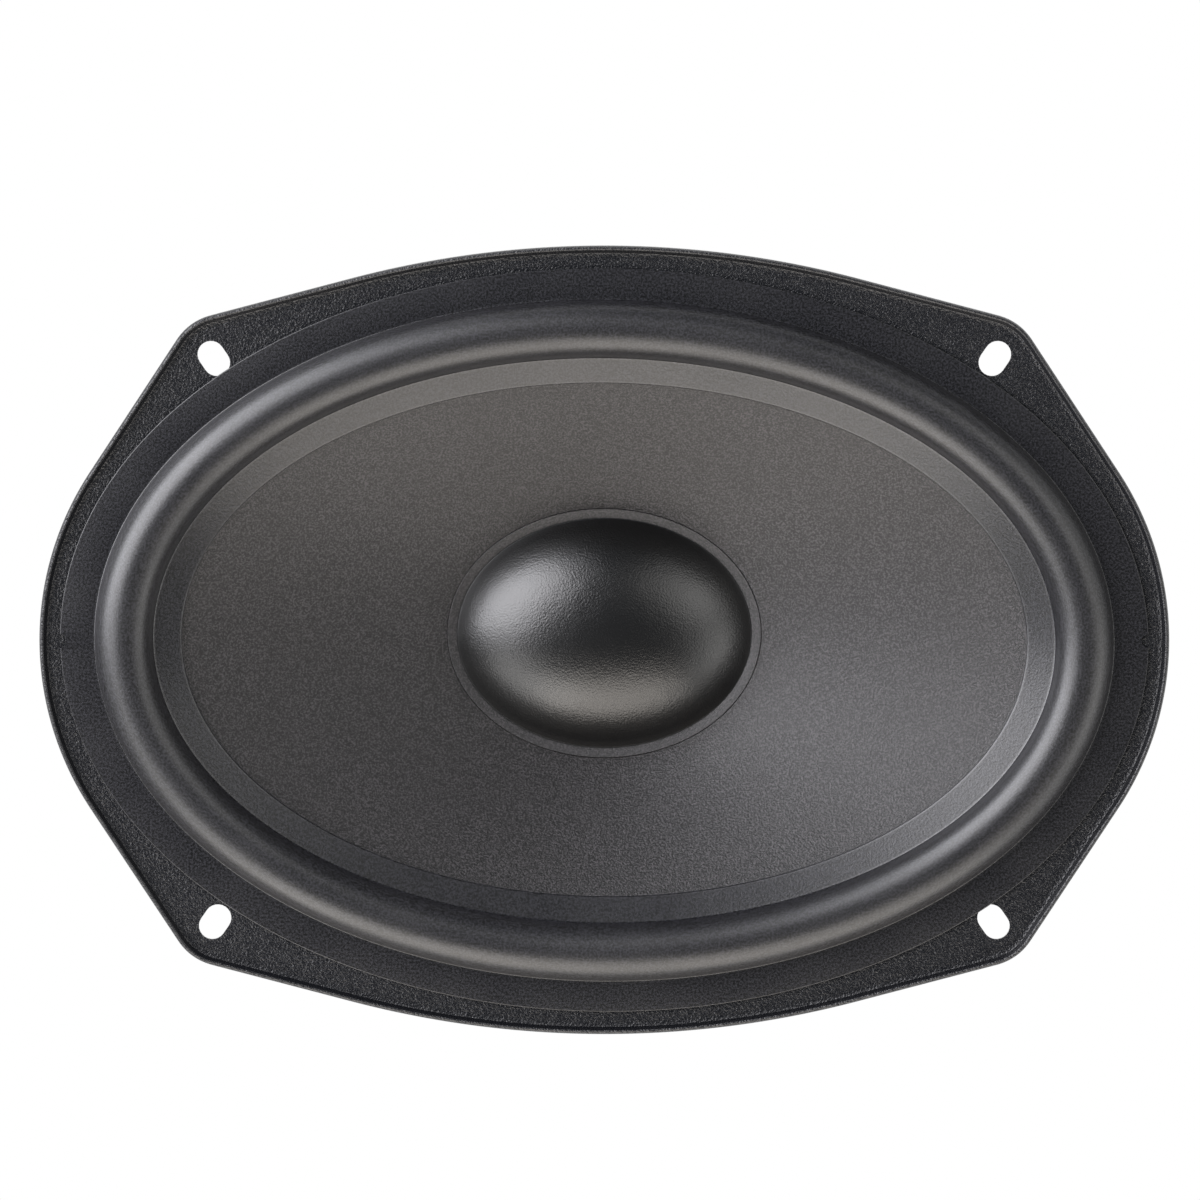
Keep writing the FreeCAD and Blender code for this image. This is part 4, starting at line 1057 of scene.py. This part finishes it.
# Tinned brass: pale warm metal, satin where the solder has wetted it.
tin = mottled("tinned_brass", "#c2bca9", 0.3, stain=1.5 * MM, detail=3.0,
              tones=("#aea58c", "#d2cec2"), gloss=(0.22, 0.42), Metallic=1.0)
eyelet_pair = shade(joined("eyelet_pair", eyelets))
settle(eyelet_pair, "cone_assembly", "tinned_braid", tin, "lead_eyelets")
coil_end_pair = shade(joined("coil_end_pair", coil_ends), 50)
settle(coil_end_pair, "cone_assembly", "winding_copper", copper, "coil_lead_wires")

# --------------------------------------------------------------------------- dust cap
# Oval bulge vacuum formed in glossy sheet, with a skirt that is glued to the cone's seat
# and rises to lie level with the cone round it.

CAP_WALL = 0.7 * MM
SKIRT_WALL = 0.35 * MM
SKIRT_BEND = 0.15 * MM
CAP_RISE = 11 * MM
CAP_ELLIPSOID = 20 * MM
BEAD_FOOT = 0.25 * MM
BEAD_RISE = 0.65 * MM
DOME_STEPS = 28
CAP_SPOKES = 240

dome = (cap_high.x - CAP_SKIRT, cap_high.y - CAP_SKIRT)
cap_base = cap_low.z + SKIRT_WALL
base_turn = math.asin(1 - CAP_RISE / CAP_ELLIPSOID)


def bulge(inset):
    """Stations up the bulge, inset by a wall, nearly to its top."""
    stations = []
    for step in range(DOME_STEPS):
        turn = base_turn + (math.pi / 2 - base_turn) * (step / (DOME_STEPS - 0.9))
        share = math.cos(turn) / math.cos(base_turn)
        level = (CAP_ELLIPSOID - inset) * (math.sin(turn) - math.sin(base_turn))
        stations.append(Vector(((dome[0] - inset) * share, (dome[1] - inset) * share, cap_base + level)))
    return stations


skin = list(reversed(bulge(0)))
skirt = bent_step(skin[-2:] + [
    station(dome, BEAD_FOOT, cap_base), station(dome, CAP_SKIRT, cap_base + BEAD_RISE),
    station(cap_high, 0, cap_low.z), station(dome, -CAP_WALL, cap_low.z)], SKIRT_BEND)
cap_rings = [oval(*corner, CAP_SPOKES) for corner in skin[:-2] + skirt + bulge(CAP_WALL)]
dust_cap = shade(shell("dust_cap_moulding", cap_rings, closed=False), 40)

# Polypropylene sheet: black, satin to glossy, faintly rippled where it cooled on the mould.
# The skirt is brushed over with damping lacquer, duller and speckled grey like the pulp.
RIPPLE = 4 * MM
LACQUER_GRAIN = 0.4 * MM
LACQUER_START = 0.2 * MM
cap_gloss, tree, place = new_finish("black_formed_polypropylene", "#060606", 0.29, Specular_IOR_Level=1.0)
to_round = (1 / (dome[0] + LACQUER_START), 1 / (dome[1] + LACQUER_START), 0)
reach = vectors(tree, "LENGTH", vectors(tree, "MULTIPLY", place, to_round)).outputs["Value"]
lacquered = spread(tree, reach, (0.998, 1.006))
skin_grain = noise(tree, place, LACQUER_GRAIN, 2.0)
lacquer = mix(tree, spread(tree, skin_grain, (0.42, 0.62)), "#0a0a0a", "#3a3739")
relief = bump(tree, noise(tree, place, RIPPLE, 1.0), 0.5, 0.1 * MM)
tree.links.new(bump(tree, skin_grain, 0.9, 0.07 * MM).outputs[0], relief.inputs["Normal"])
feed(cap_gloss, Base_Color=mix(tree, lacquered, "#060606", lacquer), Normal=relief,
     Roughness=spread(tree, lacquered, (0.0, 1.0), (0.29, 0.46)))
settle(dust_cap, "cone_assembly", "cap_plastic", cap_gloss, "dust_cap")

# --------------------------------------------------------------------------- surround
# Half roll of butyl rubber, moulded in one section all round. Its outer land is glued on
# the flange, notched at both ends for the tool, and its inner land on the cone's band.

surround_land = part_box("surround")[1]
RUBBER = 0.8 * MM
ROLL_RADIUS = 5.85 * MM
ROLL_STEPS = 28
# How far the roll's inner foot stands beyond the cone's edge, at the ends and the sides.
FOOT_GAP = Vector((1.0, 0.45)) * MM
EDGE_SINK = 0.04 * MM
FOOT_FLARE = 0.34 * MM
FOOT_BEND = 0.8 * MM
LAND_BEND = 0.3 * MM
LAND_STRIP = 0.8 * MM
LAND_FOOT = 0.2 * MM
NOTCH_RADIUS = 1.5 * MM
NOTCH_SIDES = 32
OFF_SQUARE = math.radians(-0.7)

land_top = SHEET + RUBBER
roll = (edge[0] + FOOT_GAP[0] + ROLL_RADIUS, edge[1] + FOOT_GAP[1] + ROLL_RADIUS)


def over_roll(radius):
    """Stations up over the half roll from outside to inside."""
    turns = [math.pi * step / ROLL_STEPS for step in range(ROLL_STEPS + 1)]
    return [station(roll, radius * math.cos(turn), land_top + radius * math.sin(turn)) for turn in turns]


crown = over_roll(ROLL_RADIUS)
land_start = station(roll, -ROLL_RADIUS - FOOT_FLARE, land_top)
land_end = station(edge, -INNER_LAND, land_top - LAND_FALL)
upper_side = bent_step([
    station(surround_land, 0, SHEET), station(surround_land, 0, land_top),
    station(roll, ROLL_RADIUS + LAND_STRIP, land_top), station(roll, ROLL_RADIUS + LAND_FOOT, land_top),
    *crown[2:4]], LAND_BEND) + crown[4:-5]
inner_side = bent_step([
    *crown[-5:-3], land_start, land_start.lerp(land_end, 0.1), land_start.lerp(land_end, 0.9), land_end,
    station(edge, -INNER_LAND, SHEET - LAND_FALL), station(edge, 0, SHEET - EDGE_SINK)], FOOT_BEND)
under_side = [station(roll, RUBBER / 2 - ROLL_RADIUS, SHEET - EDGE_SINK),
              *reversed(over_roll(ROLL_RADIUS - RUBBER)), station(roll, ROLL_RADIUS - RUBBER, SHEET)]
surround = shell("surround_moulding", [oval(*corner) for corner in upper_side + inner_side + under_side])
notches = []
for side in (-1, 1):
    middle = Vector((side * surround_land.x, 0, 0))
    notch_plan = [middle + spot for spot in circle(NOTCH_RADIUS, NOTCH_SIDES)]
    notches.append(prism("notch", notch_plan, 0, 3 * MM))
surround.data.transform(Matrix.Rotation(OFF_SQUARE, 4, "Z"))
combined(surround, notches, "DIFFERENCE")
shade(surround, 30)

# Butyl rubber: black, satin from the mould, with a film of bloom that clouds its gloss.
# The roll is smooth, and both lands carry the speckled grain of a blasted mould.
BLOOM = 18 * MM
LAND_GRAIN = 0.45 * MM
butyl, tree, place = new_finish("moulded_butyl_rubber", "#111112", 0.41, Specular_IOR_Level=0.85)
skin_grain = noise(tree, place, LAND_GRAIN, 3.0, 0.6)
level = plan_place(tree, place)[1]
on_land = spread(tree, level, (land_top + 1.2 * MM, land_top + 0.2 * MM))
clouded = spread(tree, noise(tree, place, BLOOM, 3.0), (0.3, 0.7), (0.37, 0.43))
grip = spread(tree, on_land, (0.0, 1.0), (0.5, 0.7))
feed(butyl, Base_Color=mix(tree, spread(tree, skin_grain, (0.42, 0.6)), "#050506", "#2b2b2f"),
     Normal=bump(tree, skin_grain, grip, 0.06 * MM),
     Roughness=maths(tree, "MULTIPLY_ADD", on_land, -0.1, clouded))
settle(surround, None, "surround_rubber", butyl, "surround")
bend_between(surround)

# -------------------------------------------------------------------------- terminals
# Laminate board riveted to the basket's lug. It carries two push-on tabs of brass, the
# wide one positive, each riveted on and with a tail bent back through the board.

board_low, board_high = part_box("terminal_board")
BOARD_CORNER = 1.2 * MM
BOARD_RIVET = 1.5 * MM
BOARD_RIVET_HEAD = 2.7 * MM
BOARD_RIVET_PITCH = 9 * MM
TAB_SPACING = 21 * MM
TAB_WALL = 0.8 * MM
TAB_HOLE = 0.8 * MM
TAB_HOLE_DROP = 3.5 * MM
TAB_RIVET = 1.1 * MM
TAB_RIVET_HEAD = 1.9 * MM
TAIL_WIDTH = 3 * MM
TAIL_DROP = 5 * MM
TIP_CHAMFER = 1.3 * MM
RIVET_WALL = 0.8 * MM
PLAY = 0.05 * MM
BROKEN_EDGE = 0.12 * MM
PUNCH_REACH = 3 * MM
FACING_OUT = (math.pi / 2, 0.0, 0.0)
FACING_IN = (-math.pi / 2, 0.0, 0.0)


def upright(name, plan, front, back):
    """Plate standing across Y between front and back, from a plan of (x, z) corners."""
    plate = prism(name, plan, 0, back - front)
    plate.data.transform(Matrix(((1, 0, 0, 0), (0, 0, 1, front), (0, 1, 0, 0), (0, 0, 0, 1))))
    plate.data.flip_normals()
    return plate


def broken_edges(piece):
    """Rounds a piece's sharp edges."""
    change = piece.modifiers.new("edges", "BEVEL")
    change.width = BROKEN_EDGE
    change.segments = 3
    change.limit_method = "ANGLE"
    change.angle_limit = math.radians(50)
    return shade(made_plain(piece))


def cross_hole(x, z, radius):
    """Round punch along Y through the board or a tab."""
    return rod("punch", Vector((x, board_low.y - PUNCH_REACH, z)),
               Vector((x, board_high.y + PUNCH_REACH, z)), radius)


def riveted(name, backs, fronts, radius, head, length, finish):
    """Rivets along Y, with a domed head at the front places and one at the back places."""
    return shade(joined(name, [
        rivets(name + "_front", fronts, FACING_OUT, head, RIVET_WALL, radius, length, finish),
        rivets(name + "_back", backs, FACING_IN, head, RIVET_WALL, radius, MM, finish)]))


tail_level = board_high.z - TAIL_DROP
tab_rivet_level = tail_level - 2 * TAB_RIVET_HEAD
board_middle = (board_low.z + board_high.z) / 2
board_rivet_levels = [board_middle - BOARD_RIVET_PITCH / 2, board_middle + BOARD_RIVET_PITCH / 2]
board_plan = []
for x, z, start in ((1, 1, 0), (-1, 1, 1), (-1, -1, 2), (1, -1, 3)):
    middle = (board_high.z if z > 0 else board_low.z) - z * BOARD_CORNER
    for step in range(7):
        turn = (start + step / 6) * math.pi / 2
        board_plan.append((x * (board_high.x - BOARD_CORNER) + BOARD_CORNER * math.cos(turn),
                           middle + BOARD_CORNER * math.sin(turn)))
board = upright("board_blank", board_plan, board_low.y, board_high.y)
punches = [cross_hole(0, level, BOARD_RIVET + PLAY) for level in board_rivet_levels]
slot_half, slot_rise = TAIL_WIDTH / 2 + PLAY, TAB_WALL / 2 + PLAY
for pole in (-1, 1):
    x = pole * TAB_SPACING / 2
    punches.append(cross_hole(x, tab_rivet_level, TAB_RIVET + PLAY))
    slot_plan = rectangle(x - slot_half, tail_level - slot_rise, x + slot_half, tail_level + slot_rise)
    punches.append(upright("tail_slot", slot_plan, board_low.y - MM, board_high.y + MM))
combined(board, punches, "DIFFERENCE")
broken_edges(board)

# Vulcanised fibre: black, matt, with the grain of the paper that it is pressed from.
fibre = mottled("black_vulcanised_fibre", "#1a1918", 0.6, stain=0.7 * MM, detail=4.0,
                tones=("#131211", "#242220"), relief=(0.3, 0.03 * MM))
settle(board, "frame", "terminal_fibre", fibre, "terminal_board")

# Brass strip: rolled, so its fine lines run along the blade, and lightly tarnished.
ROLL_LINE = 0.25 * MM
TARNISH = 3 * MM
brass, tree, place = new_finish("rolled_brass_strip", "#c8a860", 0.3, Metallic=1.0)
drawn_out = add(tree, "ShaderNodeMapping", {"Vector": place, "Scale": (1.0, 1.0, 0.03)})
lines = noise(tree, drawn_out, ROLL_LINE, 2.0)
feed(brass, Base_Color=mix(tree, noise(tree, place, TARNISH, 4.0), "#a88743", "#dcc383"),
     Normal=bump(tree, lines, 0.25, 0.01 * MM), Roughness=spread(tree, lines, (0.0, 1.0), (0.22, 0.42)))
for pole, node in ((-1, "terminal_positive"), (1, "terminal_negative")):
    low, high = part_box(node)
    x, half = pole * TAB_SPACING / 2, (high.x - low.x) / 2
    blade_plan = [(x - half, low.z + TIP_CHAMFER), (x - half + TIP_CHAMFER, low.z),
                  (x + half - TIP_CHAMFER, low.z), (x + half, low.z + TIP_CHAMFER), (x + half, high.z),
                  (x - half, high.z)]
    blade = upright("tab_" + node, blade_plan, low.y, low.y + TAB_WALL)
    tail_plan = rectangle(x - TAIL_WIDTH / 2, high.z - TAB_WALL, x + TAIL_WIDTH / 2, high.z)
    combined(blade, [upright("tail", tail_plan, low.y, high.y)], "UNION")
    combined(blade, [cross_hole(x, tab_rivet_level, TAB_RIVET + PLAY),
                     cross_hole(x, board_low.z - TAB_HOLE_DROP, TAB_HOLE)], "DIFFERENCE")
    broken_edges(blade)
    settle(blade, "frame", "tab_brass", brass, node)

lug_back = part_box("board_rivets")[1].y - RIVET_WALL
board_rivet_set = riveted(
    "board_rivet_set", [Vector((0, lug_back, level)) for level in board_rivet_levels],
    [Vector((0, board_low.y, level)) for level in board_rivet_levels], BOARD_RIVET, BOARD_RIVET_HEAD,
    lug_back - board_low.y, zinc)
settle(board_rivet_set, "frame", "zinc_steel", zinc, "board_rivets")
tab_places = [Vector((pole * TAB_SPACING / 2, 0, tab_rivet_level)) for pole in (-1, 1)]
tab_rivet_set = riveted(
    "tab_rivet_set", [place + Vector((0, board_high.y, 0)) for place in tab_places],
    [place + Vector((0, board_low.y - TAB_WALL, 0)) for place in tab_places], TAB_RIVET, TAB_RIVET_HEAD,
    board_high.y - board_low.y + TAB_WALL, tin)
settle(tab_rivet_set, "frame", "tab_brass", tin, "terminal_rivets")

# ----------------------------------------------------------------------- tinsel leads
# Limp braided leads from the eyelets to the tails: eight tinned copper strands woven over
# a cotton core. Soldered at both ends, they sag between them and flex with the cone.

LAY_RADIUS = 0.5 * MM
WEAVE = 0.17 * MM
STRAND_RADIUS = 0.2 * MM
CORE_RADIUS = 0.32 * MM
BRAID_PITCH = 4.5 * MM
BRAID_STEP = 0.45 * MM
STRANDS = 8
# A lead's bow: where it leaves the eyelet, hangs, comes up to the board and lands on it.
LEAD_LIFT = 0.3 * MM
LEAD_EXIT = 3 * MM
LEAD_HANG = 9 * MM
LEAD_SPREAD = 1 * MM
LEAD_RETURN = 17 * MM
LEAD_RISE = 3.5 * MM
LEAD_LANDING = 6 * MM

braid_sizes = {"Lay Radius": LAY_RADIUS, "Weave": WEAVE, "Strand Radius": STRAND_RADIUS,
               "Core Radius": CORE_RADIUS, "Pitch": BRAID_PITCH, "Step": BRAID_STEP,
               "Strands": float(STRANDS)}
tree, given = new_group("braided_lead", "Lines", {
    **dict.fromkeys(braid_sizes, "Float"), "Finish": "Material"}, "Braid")
braid_tree = tree
even = add(tree, "GeometryNodeResampleCurve", {"Curve": given["Lines"], "Length": given["Step"]},
           mode="LENGTH")
number = add(tree, "GeometryNodeCurveOfPoint").outputs["Curve Index"]
in_core = add(tree, "FunctionNodeCompare", {0: number, 1: given["Strands"]}, operation="GREATER_EQUAL")
parted = add(tree, "GeometryNodeSeparateGeometry", {"Geometry": even, "Selection": in_core},
             domain="POINT").outputs
# Strands 0 to 3 are laid right-handed and 4 to 7 left-handed.
half_count = maths(tree, "DIVIDE", given["Strands"], 2.0)
left = maths(tree, "ADD", maths(tree, "GREATER_THAN", number, half_count),
             maths(tree, "COMPARE", number, half_count, 0.25))
hand = maths(tree, "MULTIPLY_ADD", left, -2.0, 1.0)
run = add(tree, "GeometryNodeSplineParameter").outputs["Length"]
swept = maths(tree, "MULTIPLY", maths(tree, "DIVIDE", run, given["Pitch"]), ROUND)
turn = maths(tree, "MULTIPLY_ADD", number, ROUND / 4, maths(tree, "MULTIPLY", swept, hand))
over = maths(tree, "MULTIPLY", maths(tree, "COSINE", maths(tree, "MULTIPLY", swept, 4.0)), hand)
out = maths(tree, "MULTIPLY_ADD", over, given["Weave"], given["Lay Radius"])
facing = add(tree, "GeometryNodeInputNormal")
beside = vectors(tree, "CROSS_PRODUCT", add(tree, "GeometryNodeInputTangent"), facing)
around = vectors(tree, "ADD", vectors(tree, "SCALE", facing, Scale=maths(tree, "COSINE", turn)),
                 vectors(tree, "SCALE", beside, Scale=maths(tree, "SINE", turn)))
woven = add(tree, "GeometryNodeSetPosition", {
    "Geometry": parted["Inverted"], "Offset": vectors(tree, "SCALE", around, Scale=out)})
core = thickened(tree, parted["Selection"], given["Core Radius"], 8)
strands = thickened(tree, woven, given["Strand Radius"], 6)
hand_over(tree, add(tree, "GeometryNodeRealizeInstances", {0: join(tree, core, strands)}), given["Finish"])

# Tinned tinsel: soft silvery strands, a little dull and yellowed by the solder flux.
tinsel = mottled("tinned_copper_tinsel", "#bdb6a6", 0.36, stain=2.5 * MM, detail=3.0,
                 tones=("#a89a7e", "#d0ccc2"), gloss=(0.28, 0.46), Metallic=1.0)

for side, node in ((-1, "tinsel_lead_positive"), (1, "tinsel_lead_negative")):
    middle, axis = eyelet_place(side)
    start = middle + axis * (half_barrel + LEAD_LIFT)
    goal = Vector((side * TAB_SPACING / 2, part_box(node)[0].y, tail_level))
    route = [start, start + axis * LEAD_EXIT,
             Vector((start.x + side * LEAD_SPREAD, start.y - LEAD_HANG, goal.z - LEAD_HANG)),
             Vector((goal.x - side * LEAD_SPREAD, goal.y + LEAD_RETURN, goal.z - LEAD_RISE)),
             Vector((goal.x, goal.y + LEAD_LANDING, goal.z)), goal]
    drawn = grow(drawn_line("lead_line", route, 24, STRANDS + 1), braid_tree,
                 {**braid_sizes, "Finish": tinsel})
    lead = shade(as_mesh("braid_" + node, drawn), 60)
    settle(lead, None, "tinned_braid", tinsel, node)
    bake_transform(lead)
